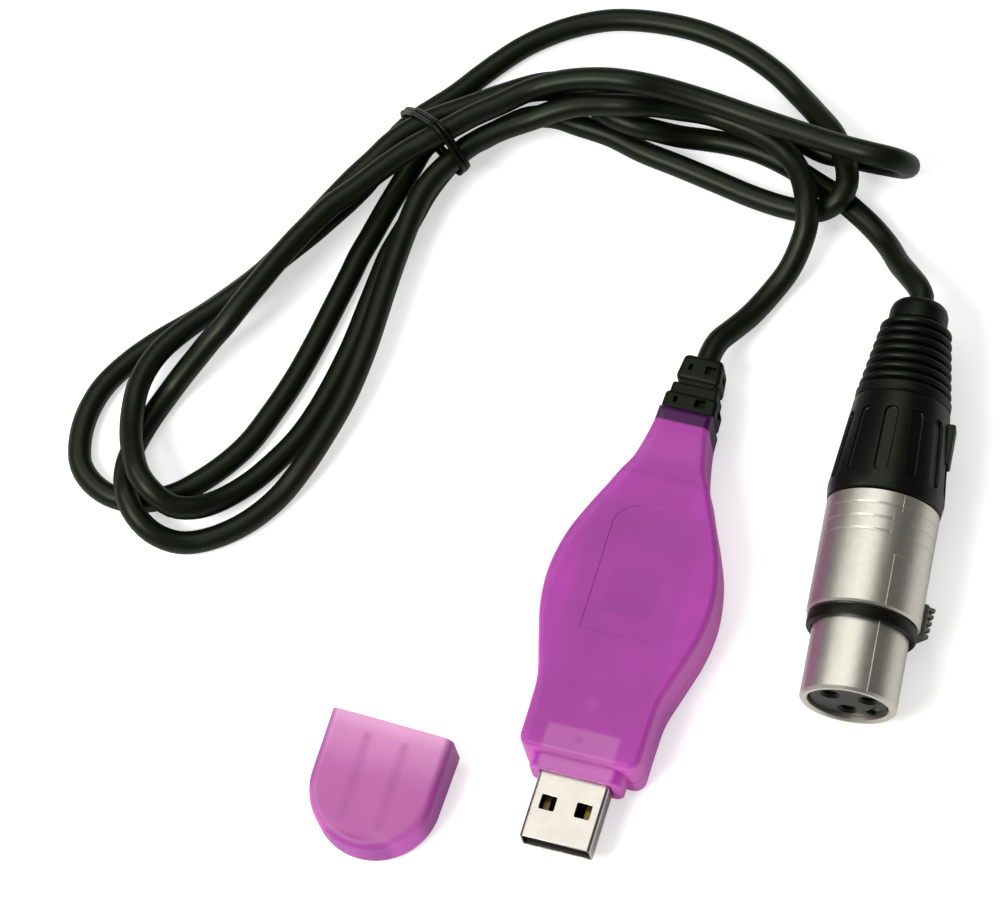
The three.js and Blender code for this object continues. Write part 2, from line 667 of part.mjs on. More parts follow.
function makeBoard() {
  const front = bodyFrontY + bodyWall + boardFrontGap;
  const right = [
    [boardHalfWidth, front], [boardHalfWidth, alongDongle(boardStraightEndShare)],
    [boardNeckHalfWidth, alongDongle(boardNeckShare)], [boardNeckHalfWidth, alongDongle(boardEndShare)],
  ];
  const left = right.map(([x, y]) => [-x, y]).reverse();
  const outline = [...right, ...left].map(([x, y]) => new THREE.Vector2(x, y));
  addPiece(device, "circuit_board", prism(outline, boardZ, boardTop), greenBoard);
  const low = boardTop + solderGap;
  for (const [name, x, share, halfWidth, halfLength, height, look] of boardParts) {
    const y = alongDongle(share);
    const body = box(x - halfWidth, x + halfWidth, y - halfLength, y + halfLength, low, low + height);
    addPiece(device, name, body, look);
  }
}

const reliefEndY = bodyNeckY + seatGap + reliefWideLength + reliefGroove + reliefSlimLength;

function cableBore(from, to) {
  const bore = rod(cableRadius + cableClearance, from, to, rodSides);
  return toSolid(bore.translate(0, 0, plugZ));
}

// One tapered segment of the strain relief along Y
function reliefSegment(from, to, halfWidth, endHalfWidth, halfHeight, endHalfHeight) {
  const rings = [
    { outline: roundedRectangle(halfWidth, halfHeight, reliefCornerRadius), z: from },
    { outline: roundedRectangle(endHalfWidth, endHalfHeight, reliefCornerRadius), z: to },
  ];
  return toSolid(layAlongY(loftRings(rings), plugZ));
}

function makeStrainRelief() {
  const rootStart = bodyNeckY - reliefRootLength;
  const wideStart = bodyNeckY + seatGap;
  const wideEnd = wideStart + reliefWideLength;
  const slimStart = wideEnd + reliefGroove;
  const middleHalfHeight = (reliefHalfHeight + reliefEndHalfHeight) / 2;
  const root = reliefSegment(
    rootStart, wideStart, reliefRootHalfWidth, reliefRootHalfWidth,
    reliefRootHalfHeight, reliefRootHalfHeight,
  );
  const wide = reliefSegment(
    wideStart, wideEnd, reliefWideHalfWidth, reliefWideEndHalfWidth, reliefHalfHeight, middleHalfHeight,
  );
  const core = reliefSegment(
    wideEnd, slimStart, reliefGrooveHalfWidth, reliefGrooveHalfWidth, reliefRootHalfHeight,
    reliefRootHalfHeight,
  );
  const slim = reliefSegment(
    slimStart, reliefEndY, reliefSlimHalfWidth, reliefSlimEndHalfWidth, middleHalfHeight, reliefEndHalfHeight,
  );
  let relief = root.add(wide).add(core).add(slim);
  const slots = [
    [wideStart + reliefWideLength / 2, reliefWideEndHalfWidth, 1],
    [slimStart + reliefSlimLength / 2, reliefSlimEndHalfWidth, 1],
    [wideStart + reliefWideLength / 2, reliefWideEndHalfWidth, -1],
    [slimStart + reliefSlimLength / 2, reliefSlimEndHalfWidth, -1],
  ];
  for (const [y, halfWidth, side] of slots) {
    const inner = side > 0 ? 0 : halfWidth / 2;
    const outer = halfWidth - reliefSlotInset;
    const fromX = side > 0 ? inner : -outer;
    const toX = side > 0 ? outer : -inner;
    for (const face of [-1, 1]) {
      const floor = middleHalfHeight - reliefSlotDepth;
      const fromZ = face > 0 ? plugZ + floor : plugZ - reliefHalfHeight - overrun;
      const toZ = face > 0 ? plugZ + reliefHalfHeight + overrun : plugZ - floor;
      const slot = box(fromX, toX, y - reliefSlotLength / 2, y + reliefSlotLength / 2, fromZ, toZ);
      relief = relief.subtract(toSolid(slot));
    }
  }
  relief = relief.subtract(cableBore(rootStart - overrun, reliefEndY + overrun));
  addPiece(device, "cable_strain_relief", toGeometry(relief), blackRubber);
}

// Snap-in cable clamp inside the neck, open at the top, and the cable's end that it grips
const clampHalfWidth = 3.5;
const clampFromRoot = 5;
const clampLength = 2.8;
const clampOverMiddle = 1.2;
const innerWireRadius = 0.45;
const innerWireSpread = 1.1;
const clampStart = bodyNeckY - reliefRootLength - clampFromRoot;
const clampTop = plugZ + clampOverMiddle;

function makeCableEnd() {
  const end = rod(cableRadius, clampStart - seatGap, reliefEndY, rodSides).translate(0, 0, plugZ);
  addPiece(device, "cable_end_in_interface", end, cableJacket);
  const clampLow = bodyWall + seatGap;
  const clampBody = box(
    -clampHalfWidth, clampHalfWidth, clampStart, clampStart + clampLength, clampLow, clampTop,
  );
  const bore = cableBore(clampStart - overrun, clampStart + clampLength + overrun);
  const bored = toSolid(clampBody).subtract(bore);
  addPiece(device, "cable_clamp", toGeometry(bored), blackPlastic);
  const [, headerX, headerShare, , headerHalfLength, headerHeight] = boardParts.at(-1);
  wireColors.forEach((color, k) => {
    const across = (k - 1) * innerWireSpread;
    const start = clampStart - seatGap * 2;
    const header = alongDongle(headerShare) + headerHalfLength + seatGap;
    const wireZ = boardTop + headerHeight / 2;
    const path = [
      [across, start, plugZ], [across, start - innerWireSpread, plugZ],
      [headerX + across, header + innerWireSpread, wireZ], [headerX + across, header, wireZ],
    ];
    const tube = tubeThrough(pickStations(sampleRoute(path)), innerWireRadius, cableSides);
    addPiece(device, `interface_wire_${k + 1}`, tube, { color, roughness: 0.5, metalness: 0 });
  });
}

// The cap's plan outline drawn in by an inset, mouth at local Y zero, closed end round and towards -Y
function capOutline(inset, mouthY) {
  const radius = capHalfWidth - inset;
  const arcY = -(capLength - capHalfWidth);
  const points = [];
  for (let k = 0; k <= capArcSteps; k++) {
    const turn = Math.PI + (k / capArcSteps) * Math.PI;
    points.push(new THREE.Vector2(radius * Math.cos(turn), arcY + radius * Math.sin(turn)));
  }
  points.push(new THREE.Vector2(radius, mouthY), new THREE.Vector2(-radius, mouthY));
  return points;
}

// Lowers what lies above the cap's floor, the more the nearer it is to the closed end
function slopeCapTop(geometry) {
  const places = geometry.attributes.position;
  for (let k = 0; k < places.count; k++) {
    const along = THREE.MathUtils.clamp(-places.getY(k), 0, capLength) / capLength;
    const fall = along * (capHeight - capEndHeight);
    const share = Math.max(places.getZ(k) - capWall, 0) / (capHeight - capWall);
    places.setZ(k, places.getZ(k) - fall * share);
  }
  return geometry;
}

function makeCap() {
  const frame = new THREE.Group();
  frame.position.set(capX, capY, 0);
  frame.rotation.z = capTurn;
  device.add(frame);
  const mouthOutline = (inset) => capOutline(inset, 0);
  const outside = slopeCapTop(roundedPrism(mouthOutline, 0, capHeight, capEdgeRadius, capEdgeRadius));
  const cavityRadius = capEdgeRadius - capWall;
  const cavityAt = (inset) => capOutline(capWall + inset, overrun);
  let cavity = toSolid(slopeCapTop(
    roundedPrism(cavityAt, capWall, capHeight - capWall, cavityRadius, cavityRadius),
  ));
  for (const side of [-1, 1]) {
    const x = (side * capRibSpacing) / 2;
    const from = -(capRibFromMouth + capRibLength);
    const left = x - capRibWidth / 2;
    const right = x + capRibWidth / 2;
    const low = box(left, right, from, -capRibFromMouth, 0, capWall + capRibHeight);
    const high = box(left, right, from, -capRibFromMouth, capHeight - capWall - capRibHeight, capHeight);
    cavity = cavity.subtract(toSolid(low)).subtract(toSolid(slopeCapTop(high)));
  }
  addPiece(frame, "cap_shell", toGeometry(toSolid(outside).subtract(cavity)), palePlastic);
}

// The cable: one route, cut where the tie holds its first and its last strand
function makeCable() {
  const route = [...routeToInterface, ...routeOfHank, ...routeToConnector];
  const samples = sampleRoute(route);
  console.log("least gap of the cable to itself, mm", leastSelfGap(samples).toFixed(2));
  const firstTied = (routeToInterface.length - 1) * samplesPerPoint;
  const lastTied = (routeToInterface.length + routeOfHank.length - 1) * samplesPerPoint;
  const stretches = [
    ["cable_to_interface", 0, firstTied],
    ["cable_hank", firstTied + cutSamples, lastTied],
    ["cable_to_connector", lastTied + cutSamples, samples.length],
  ];
  for (const [name, from, to] of stretches) {
    const stations = pickStations(samples.slice(from, to));
    addPiece(device, name, tubeThrough(stations, cableRadius, cableSides), cableJacket);
  }
}

// The tie's wire winds round the outer strands, with an arc about each
function makeTie() {
  const reach = cableRadius + tieGap + tieWireDiameter / 2;
  const ring = [];
  const count = tiedStrands.length;
  tiedStrands.forEach(([across, up], k) => {
    const before = tiedStrands[(k + count - 1) % count];
    const after = tiedStrands[(k + 1) % count];
    const turnIn = Math.atan2(up - before[1], across - before[0]) - quarterTurn;
    let turnOut = Math.atan2(after[1] - up, after[0] - across) - quarterTurn;
    if (turnOut < turnIn) turnOut += fullTurn;
    for (let step = 0; step <= tieCornerSteps; step++) {
      const turn = THREE.MathUtils.lerp(turnIn, turnOut, step / tieCornerSteps);
      ring.push([across + reach * Math.cos(turn), up + reach * Math.sin(turn)]);
    }
  });
  const acrossDirection = new THREE.Vector2(-tieDirection.y, tieDirection.x);
  const path = [];
  const total = ring.length * tieTurns;
  for (let k = 0; k <= total; k++) {
    const [across, up] = ring[k % ring.length];
    const along = (k / total - 0.5) * tiePitch * tieTurns;
    const x = tieX + across * acrossDirection.x + along * tieDirection.x;
    const y = tieY + across * acrossDirection.y + along * tieDirection.y;
    path.push(new THREE.Vector3(x, y, up));
  }
  const stations = path.map((point, k) => {
    const from = path[Math.max(k - 1, 0)];
    const to = path[Math.min(k + 1, path.length - 1)];
    return { point, direction: to.clone().sub(from).normalize() };
  });
  addPiece(device, "cable_tie", tubeThrough(stations, tieWireDiameter / 2, tieSides), blackPlastic);
}

// Connector pieces, each along local Y from the connector's face
const connector = new THREE.Group();
connector.position.set(connectorX, connectorY, connectorZ);
connector.rotation.z = connectorTurn;
device.add(connector);
const latchFrame = new THREE.Group();
latchFrame.rotation.y = latchAngle;
connector.add(latchFrame);

// A box on the latch's side: radius, place along the axis, full width
function latchBox(fromRadius, toRadius, from, to, width) {
  return box(fromRadius, toRadius, from, to, -width / 2, width / 2);
}

// Turns a cutter made in the latch's own frame to where the latch lies
function onLatchSide(geometry) {
  return toSolid(geometry.rotateY(latchAngle));
}

function makeConnectorShell() {
  const sealEnd = noseLength + sealLength;
  const profile = [
    [noseBore, 0], [noseRadius - noseChamfer, 0], [noseRadius, noseChamfer], [noseRadius, sealEnd + seatGap],
    [barrelRadius - barrelChamfer, sealEnd + seatGap], [barrelRadius, sealEnd + seatGap + barrelChamfer],
    [barrelRadius, barrelEnd - seatGap], [barrelRearBore, barrelEnd - seatGap],
    [barrelRearBore, barrelRearBoreStart], [noseBore, barrelRearBoreStart], [noseBore, 0],
  ];
  const hookSlot = latchBox(
    latchTop - latchThickness, latchTabRadius, latchHookStart - 2 * seatGap, latchHookEnd + seatGap,
    latchWidth + 2 * seatGap,
  );
  const tabSlot = latchBox(
    latchTop - latchThickness, latchTabRadius, latchTabStart - seatGap, latchTabEnd + 2 * seatGap,
    latchTabWidth + 2 * seatGap,
  );
  const shell = toSolid(turned(profile, connectorSegments)).subtract(onLatchSide(hookSlot))
    .subtract(onLatchSide(tabSlot));
  addPiece(connector, "connector_shell", toGeometry(shell), nickel);
  const ring = [
    [noseRadius + seatGap, noseLength], [sealRadius, noseLength], [sealRadius, sealEnd],
    [noseRadius + seatGap, sealEnd], [noseRadius + seatGap, noseLength],
  ];
  addPiece(connector, "connector_seal_ring", turned(ring, connectorSegments), blackRubber);
}

function makeInsert() {
  const insertRadius = noseBore - seatGap;
  let insert = toSolid(rod(insertRadius, insertFront, insertEnd, connectorSegments));
  const groove = latchBox(
    latchGrooveFloor, noseBore, insertFront - overrun, insertEnd + overrun, latchWidth + 2 * seatGap,
  );
  insert = insert.subtract(onLatchSide(groove));
  const contact = [
    [0, contactBoreEnd], [contactBore, contactBoreEnd],
    [contactBore, insertFront + socketMouthDepth + seatGap],
    [contactRadius, insertFront + socketMouthDepth + seatGap], [contactRadius, contactEnd],
    [solderCupBore, contactEnd], [solderCupBore, contactEnd - solderCupDepth],
    [0, contactEnd - solderCupDepth],
  ];
  for (let k = 0; k < 3; k++) {
    const turn = -latchAngle + ((k + 0.5) / 3) * fullTurn;
    const x = socketCircle * Math.cos(turn);
    const z = socketCircle * Math.sin(turn);
    const mouth = rod(socketMouthRadius, insertFront - overrun, insertEnd, socketSides).translate(x, 0, z);
    const holeStart = insertFront + socketMouthDepth;
    const hole = rod(socketRadius, holeStart, insertEnd + overrun, socketSides).translate(x, 0, z);
    insert = insert.subtract(toSolid(mouth)).subtract(toSolid(hole));
    const tube = turned(contact, socketSides).translate(x, 0, z);
    addPiece(connector, `connector_contact_${k + 1}`, tube, gold);
    const path = [
      [x, contactEnd + seatGap, z], [x, contactEnd + innerWireSpread, z],
      [x * wireGatherShare, chuckStart - innerWireSpread, z * wireGatherShare],
      [x * wireGatherShare, chuckStart, z * wireGatherShare],
    ];
    const wire = tubeThrough(pickStations(sampleRoute(path)), innerWireRadius, cableSides);
    addPiece(connector, `connector_wire_${k + 1}`, wire, { color: wireColors[k], roughness: 0.5 });
  }
  addPiece(connector, "connector_insert", toGeometry(insert), blackPlastic);
}

function makeLatch() {
  const arm = latchBox(latchTop - latchThickness, latchTop, latchFront, latchRear, latchWidth);
  const hook = latchBox(latchTop - latchThickness, latchHookRadius, latchHookStart, latchHookEnd, latchWidth);
  const tab = latchBox(latchTop - latchThickness, latchTabRadius, latchTabStart, latchTabEnd, latchTabWidth);
  const latch = toSolid(arm).add(toSolid(hook)).add(toSolid(tab));
  addPiece(latchFrame, "connector_latch", toGeometry(latch), nickel);
  const leaf = latchBox(springTop - springThickness, springTop, insertEnd + seatGap, springEnd, latchWidth);
  addPiece(latchFrame, "latch_spring", leaf, steel);
}

function makeClutch() {
  const bore = cableRadius + cableClearance;
  const chuck = [
    [bore, chuckStart], [barrelRearBore - seatGap, chuckStart], [barrelRearBore - seatGap, chuckStraightEnd],
    [chuckEndRadius, chuckEnd], [bore, chuckEnd], [bore, chuckStart],
  ];
  addPiece(connector, "connector_chuck", turned(chuck, connectorSegments), blackPlastic);
}

function makeBushing() {
  const rearBore = chuckEndRadius + seatGap;
  const profile = [
    [barrelRearBore, barrelEnd], [bushingFrontRadius, barrelEnd], [bushingWideRadius, bushingWideAt],
    [bushingEndRadius, bushingEnd], [rearBore, bushingEnd], [rearBore, chuckEnd + seatGap],
    [barrelRearBore, chuckStraightEnd], [barrelRearBore, barrelEnd],
  ];
  let bushing = toSolid(turned(profile, connectorSegments));
  const fluteSlope = Math.atan2(bushingWideRadius - bushingEndRadius, bushingEnd - bushingWideAt);
  for (let k = 0; k < fluteCount; k++) {
    const outline = roundedRectangle(
      fluteWidth / 2, (fluteEnd - fluteStart) / 2, fluteWidth / 2 - leastRounding, 0,
      (fluteEnd - fluteStart) / 2,
    );
    const flute = prism(outline, -fluteDepth, overrun);
    const place = bushingWideRadius - (fluteStart - bushingWideAt) * Math.tan(fluteSlope);
    flute.rotateX(-fluteSlope).translate(0, fluteStart, place);
    const turn = THREE.MathUtils.degToRad(fluteTurn) + (k / fluteCount) * fullTurn;
    bushing = bushing.subtract(toSolid(flute.rotateY(turn)));
  }
  const key = box(
    bushingEndRadius - keyReach, bushingWideRadius + keyReach / 2, keyStart, keyEnd,
    -keyWidth / 2, keyWidth / 2,
  );
  bushing = bushing.add(toSolid(key));
  addPiece(connector, "connector_bushing", toGeometry(bushing), blackPlastic);
}

function makeBoot() {
  const bore = cableRadius + cableClearance;
  const rootStart = chuckEnd + 2 * seatGap;
  const bandStart = bushingEnd + seatGap;
  const profile = [
    [bore, rootStart], [chuckEndRadius, rootStart], [chuckEndRadius, bandStart],
    [bootBandRadius, bandStart], [bootBandRadius, bootBandEnd],
  ];
  for (let k = 0; k < bootRibCount; k++) {
    const share = (k + 1) / bootRibCount;
    const radius = THREE.MathUtils.lerp(bootBandRadius, bootLastRibRadius, share);
    const end = bootBandEnd + (k + 1) * bootRibPitch;
    const grooveRadius = radius - bootGrooveDepth;
    profile.push([grooveRadius, end - bootRibPitch], [grooveRadius, end - bootRibWidth]);
    profile.push([radius, end - bootRibWidth], [radius, end]);
  }
  const edge = bootTailRadius - bootTailEndRadius;
  const last = bootBandEnd + bootRibCount * bootRibPitch;
  profile.push([bootTailEndRadius, last], [bootTailEndRadius, bootTailStart]);
  profile.push([bootTailRadius, bootTailStart + edge]);
  profile.push([bootTailEndRadius, bootEnd], [bore, bootEnd], [bore, rootStart]);
  addPiece(connector, "connector_boot", turned(profile, bootSegments), blackRubber);
}

function makeConnectorCableEnd() {
  const end = rod(cableRadius, chuckStart + seatGap, bootEnd - seatGap, rodSides);
  addPiece(connector, "cable_end_in_connector", end, cableJacket);
}

makeShells();
makePlug();
makeBoard();
makeStrainRelief();
makeCableEnd();
makeCap();
makeCable();
makeTie();
makeConnectorShell();
makeInsert();
makeLatch();
makeClutch();
makeBushing();
makeBoot();
makeConnectorCableEnd();

export default device;
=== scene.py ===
"""Looks of the lighting interface: a translucent dongle, its cap, and a tied lead with a round connector."""
import bpy
import bmesh
from math import atan2, cos, pi, radians, sin, tau
from mathutils import Matrix, Vector


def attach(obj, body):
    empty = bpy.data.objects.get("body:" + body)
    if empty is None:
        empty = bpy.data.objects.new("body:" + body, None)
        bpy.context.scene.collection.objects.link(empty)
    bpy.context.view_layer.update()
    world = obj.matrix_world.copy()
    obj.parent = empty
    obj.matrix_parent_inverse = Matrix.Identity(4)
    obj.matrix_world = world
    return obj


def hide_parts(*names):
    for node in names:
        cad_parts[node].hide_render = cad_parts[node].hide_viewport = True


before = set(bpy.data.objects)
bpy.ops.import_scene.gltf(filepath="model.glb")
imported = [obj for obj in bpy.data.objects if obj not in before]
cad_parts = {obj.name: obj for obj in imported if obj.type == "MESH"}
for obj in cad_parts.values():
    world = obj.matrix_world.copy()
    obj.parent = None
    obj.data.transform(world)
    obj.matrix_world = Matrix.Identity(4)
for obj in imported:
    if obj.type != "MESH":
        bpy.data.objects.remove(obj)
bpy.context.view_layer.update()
scene = bpy.context.scene
MM = 0.001

# Camera, fitted to the photograph
CAMERA_TARGET = (-30.66, 20.55, 0)
CAMERA_DISTANCE = 800
CAMERA_AZIMUTH = radians(-33.1)
CAMERA_ELEVATION = radians(65)
CAMERA_ROLL = radians(-17.6)
CAMERA_LENS = 170.2
CAMERA_SENSOR = 36
CAMERA_NEAREST = 0.05
CAMERA_FURTHEST = 10


def make_camera():
    level = cos(CAMERA_ELEVATION)
    forward = Vector((sin(CAMERA_AZIMUTH) * level, cos(CAMERA_AZIMUTH) * level, -sin(CAMERA_ELEVATION)))
    level_right = Vector((cos(CAMERA_AZIMUTH), -sin(CAMERA_AZIMUTH), 0))
    level_up = level_right.cross(forward)
    right = level_right * cos(CAMERA_ROLL) + level_up * sin(CAMERA_ROLL)
    up = level_up * cos(CAMERA_ROLL) - level_right * sin(CAMERA_ROLL)
    eye = (Vector(CAMERA_TARGET) - forward * CAMERA_DISTANCE) * MM
    data = bpy.data.cameras.new("camera")
    data.lens = CAMERA_LENS
    data.sensor_width = CAMERA_SENSOR
    data.sensor_fit = "HORIZONTAL"
    data.clip_start = CAMERA_NEAREST
    data.clip_end = CAMERA_FURTHEST
    camera = bpy.data.objects.new("camera", data)
    turn = Matrix((right, up, -forward)).transposed()
    camera.matrix_world = Matrix.Translation(eye) @ turn.to_4x4()
    scene.collection.objects.link(camera)
    scene.camera = camera


make_camera()

# Cable, in metres, on the same route as the construction; the route is written in tenths of a millimetre
CABLE_DIAMETER = 0.004
CABLE_STEP = 0.0012
TENTHS_PER_METRE = 10000
ROUTE_IN_TENTHS = [
    (0, 430, 58), (1, 450, 57), (6, 476, 53), (22, 508, 42), (40, 545, 29), (60, 592, 23), (83, 639, 39),
    (94, 684, 59), (96, 714, 74), (88, 745, 81), (72, 782, 77), (43, 824, 68), (-5, 857, 65),
    (-59, 873, 65), (-126, 881, 67), (-174, 873, 78), (-215, 864, 90), (-247, 849, 107), (-296, 839, 108),
    (-338, 827, 108), (-374, 812, 103), (-419, 789, 90), (-463, 763, 84), (-502, 731, 79),
    (-532, 689, 78), (-557, 642, 75), (-568, 604, 70), (-573, 551, 65), (-575, 485, 64), (-575, 426, 63),
    (-575, 322, 58), (-584, 226, 49), (-604, 136, 43), (-618, 92, 37), (-645, 35, 23), (-681, -18, 20),
    (-724, -58, 20), (-765, -82, 23), (-795, -91, 33), (-829, -89, 49), (-861, -72, 64), (-884, -46, 70),
    (-902, -11, 59), (-917, 31, 32), (-918, 71, 21), (-909, 118, 20), (-888, 177, 28), (-871, 207, 44),
    (-851, 236, 64), (-833, 262, 82), (-815, 288, 96), (-796, 328, 107), (-778, 372, 110),
    (-760, 420, 110), (-741, 465, 110), (-722, 504, 110), (-701, 542, 110), (-671, 581, 110),
    (-636, 630, 111), (-603, 672, 112), (-569, 704, 117), (-537, 736, 116), (-511, 762, 116),
    (-473, 793, 117), (-427, 830, 121), (-370, 855, 133), (-301, 869, 144), (-250, 873, 146),
    (-203, 880, 132), (-134, 881, 118), (-43, 872, 112), (49, 856, 122), (123, 842, 134), (176, 837, 139),
    (219, 844, 121), (236, 858, 80), (218, 872, 39), (174, 879, 21), (134, 879, 20), (79, 878, 20),
    (21, 895, 20), (-37, 908, 20), (-102, 918, 20), (-157, 921, 23), (-234, 913, 48), (-273, 900, 72),
    (-312, 887, 91), (-346, 880, 93), (-383, 877, 83), (-428, 869, 71), (-483, 839, 66), (-520, 810, 71),
    (-555, 782, 76), (-587, 758, 78), (-618, 732, 77), (-647, 697, 74), (-665, 667, 69), (-691, 624, 65),
    (-714, 576, 65), (-727, 547, 65), (-751, 493, 65), (-774, 444, 65), (-799, 397, 65), (-825, 359, 65),
    (-850, 326, 65), (-877, 294, 65), (-914, 236, 66), (-928, 195, 68), (-932, 154, 70), (-926, 109, 72),
    (-913, 66, 80), (-894, 27, 92), (-868, -12, 100), (-839, -34, 94), (-803, -45, 76), (-771, -35, 62),
    (-741, -6, 40), (-703, 45, 23), (-675, 91, 20), (-648, 145, 20), (-628, 213, 20), (-611, 320, 20),
    (-605, 419, 20), (-602, 477, 20), (-599, 517, 20), (-584, 585, 22), (-571, 641, 29), (-554, 687, 33),
    (-541, 715, 33), (-527, 741, 32), (-505, 764, 29), (-474, 799, 23), (-440, 827, 20), (-397, 837, 20),
    (-350, 832, 20), (-291, 825, 20), (-229, 808, 20), (-157, 795, 20), (-86, 781, 20), (-15, 767, 20),
    (41, 760, 22), (74, 759, 26), (104, 760, 39), (129, 770, 58), (141, 790, 67), (139, 817, 68),
    (126, 849, 68), (96, 892, 64), (49, 937, 42), (9, 972, 24), (-45, 1009, 20), (-119, 1041, 20),
    (-193, 1057, 20), (-261, 1059, 20), (-323, 1052, 20), (-362, 1042, 20), (-412, 1019, 20),
    (-454, 991, 20), (-492, 957, 20), (-522, 921, 20), (-549, 884, 20), (-577, 838, 26), (-602, 804, 31),
    (-625, 775, 33), (-648, 740, 32), (-659, 708, 29), (-668, 675, 25), (-682, 639, 20), (-700, 601, 20),
    (-723, 561, 20), (-745, 524, 20), (-769, 488, 20), (-792, 453, 20), (-813, 419, 20), (-836, 386, 20),
    (-882, 327, 20), (-942, 262, 20), (-983, 207, 20), (-1010, 152, 20), (-1019, 92, 20), (-1012, 42, 20),
    (-997, 8, 20), (-966, -19, 20), (-921, -34, 20), (-868, -28, 20), (-819, -2, 20), (-789, 27, 20),
    (-755, 70, 20), (-728, 117, 20), (-707, 178, 20), (-688, 248, 20), (-675, 318, 20), (-664, 396, 20),
    (-655, 462, 20), (-651, 497, 20), (-642, 544, 20), (-633, 593, 20), (-621, 641, 25), (-610, 684, 30),
    (-600, 723, 33), (-583, 749, 33), (-565, 773, 31), (-544, 803, 28), (-520, 827, 23), (-489, 856, 20),
    (-450, 879, 20), (-403, 888, 23), (-342, 866, 50), (-290, 842, 62), (-248, 834, 62), (-209, 836, 53),
    (-171, 845, 32), (-129, 854, 21), (-85, 857, 20), (-34, 854, 20), (26, 839, 20), (83, 817, 20),
    (124, 801, 20), (159, 782, 20), (196, 759, 20), (233, 727, 28), (263, 689, 52), (290, 659, 78),
    (314, 634, 94), (326, 616, 98), (328, 600, 98),
]
CABLE_ROUTE = [tuple(value / TENTHS_PER_METRE for value in point) for point in ROUTE_IN_TENTHS]


def smooth_route(points, spacing):
    """Points on a centripetal Catmull-Rom curve through the given ones, about as far apart as spacing."""
    points = [Vector(p) for p in points]
    ends = [points[0] * 2 - points[1]] + points + [points[-1] * 2 - points[-2]]
    route = []
    for a, b, c, d in zip(ends, ends[1:], ends[2:], ends[3:]):
        t0, t1 = 0, (b - a).length ** 0.5
        t2 = t1 + (c - b).length ** 0.5
        t3 = t2 + (d - c).length ** 0.5
        steps = max(1, round((c - b).length / spacing))
        for k in range(steps):
            t = t1 + (t2 - t1) * k / steps
            ab = a * ((t1 - t) / (t1 - t0)) + b * ((t - t0) / (t1 - t0))
            bc = b * ((t2 - t) / (t2 - t1)) + c * ((t - t1) / (t2 - t1))
            cd = c * ((t3 - t) / (t3 - t2)) + d * ((t - t2) / (t3 - t2))
            abc = ab * ((t2 - t) / (t2 - t0)) + bc * ((t - t0) / (t2 - t0))
            bcd = bc * ((t3 - t) / (t3 - t1)) + cd * ((t - t1) / (t3 - t1))
            route.append(abc * ((t2 - t) / (t2 - t1)) + bcd * ((t - t1) / (t2 - t1)))
    return route + [points[-1]]


# Shared node groups

BLOTCH_DETAIL = 4
BLOTCH_LOW = 0.35
BLOTCH_HIGH = 0.65
GRAIN_DETAIL = 3


def fill(node, **values):
    """Sets a node's inputs, each named with an underscore for a space."""
    for socket, value in values.items():
        node.inputs[socket.replace("_", " ")].default_value = value


def group_with(name, inputs, outputs):
    """A node group with its sockets: name, type and, for inputs, the value that they start with."""
    group = bpy.data.node_groups.new(name, "ShaderNodeTree")
    for socket, kind, value in inputs:
        made = group.interface.new_socket(socket, in_out="INPUT", socket_type=kind)
        made.default_value = value
    for socket, kind in outputs:
        group.interface.new_socket(socket, in_out="OUTPUT", socket_type=kind)
    start = group.nodes.new("NodeGroupInput")
    end = group.nodes.new("NodeGroupOutput")
    return group, group.nodes, group.links, start, end


def blotch_group():
    """Soft patches that darken a colour and change its roughness."""
    group, nodes, links, start, end = group_with(
        "soft_blotches",
        [("Color", "NodeSocketColor", (1, 1, 1, 1)), ("Dark", "NodeSocketFloat", 0.8),
         ("Scale", "NodeSocketFloat", 100), ("Roughness", "NodeSocketFloat", 0.4),
         ("Roughness Change", "NodeSocketFloat", 0.1)],
        [("Color", "NodeSocketColor"), ("Roughness", "NodeSocketFloat")],
    )
    place = nodes.new("ShaderNodeTexCoord")
    noise = nodes.new("ShaderNodeTexNoise")
    fill(noise, Detail=BLOTCH_DETAIL)
    links.new(place.outputs["Object"], noise.inputs["Vector"])
    links.new(start.outputs["Scale"], noise.inputs["Scale"])
    spread = nodes.new("ShaderNodeMapRange")
    fill(spread, From_Min=BLOTCH_LOW, From_Max=BLOTCH_HIGH)
    links.new(noise.outputs["Fac"], spread.inputs["Value"])
    links.new(start.outputs["Dark"], spread.inputs["To Min"])
    tint = nodes.new("ShaderNodeVectorMath")
    tint.operation = "SCALE"
    links.new(start.outputs["Color"], tint.inputs["Vector"])
    links.new(spread.outputs["Result"], tint.inputs["Scale"])
    links.new(tint.outputs["Vector"], end.inputs["Color"])
    change = nodes.new("ShaderNodeMath")
    change.operation = "MULTIPLY_ADD"
    links.new(noise.outputs["Fac"], change.inputs[0])
    links.new(start.outputs["Roughness Change"], change.inputs[1])
    links.new(start.outputs["Roughness"], change.inputs[2])
    links.new(change.outputs["Value"], end.inputs["Roughness"])
    return group


def grain_group():
    """A fine grain in the surface's normal."""
    group, nodes, links, start, end = group_with(
        "fine_grain",
        [("Scale", "NodeSocketFloat", 2000), ("Strength", "NodeSocketFloat", 0.1),
         ("Depth", "NodeSocketFloat", 0.0001)],
        [("Normal", "NodeSocketVector")],
    )
    place = nodes.new("ShaderNodeTexCoord")
    noise = nodes.new("ShaderNodeTexNoise")
    fill(noise, Detail=GRAIN_DETAIL)
    links.new(place.outputs["Object"], noise.inputs["Vector"])
    links.new(start.outputs["Scale"], noise.inputs["Scale"])
    bump = nodes.new("ShaderNodeBump")
    links.new(noise.outputs["Fac"], bump.inputs["Height"])
    links.new(start.outputs["Strength"], bump.inputs["Strength"])
    links.new(start.outputs["Depth"], bump.inputs["Distance"])
    links.new(bump.outputs["Normal"], end.inputs["Normal"])
    return group


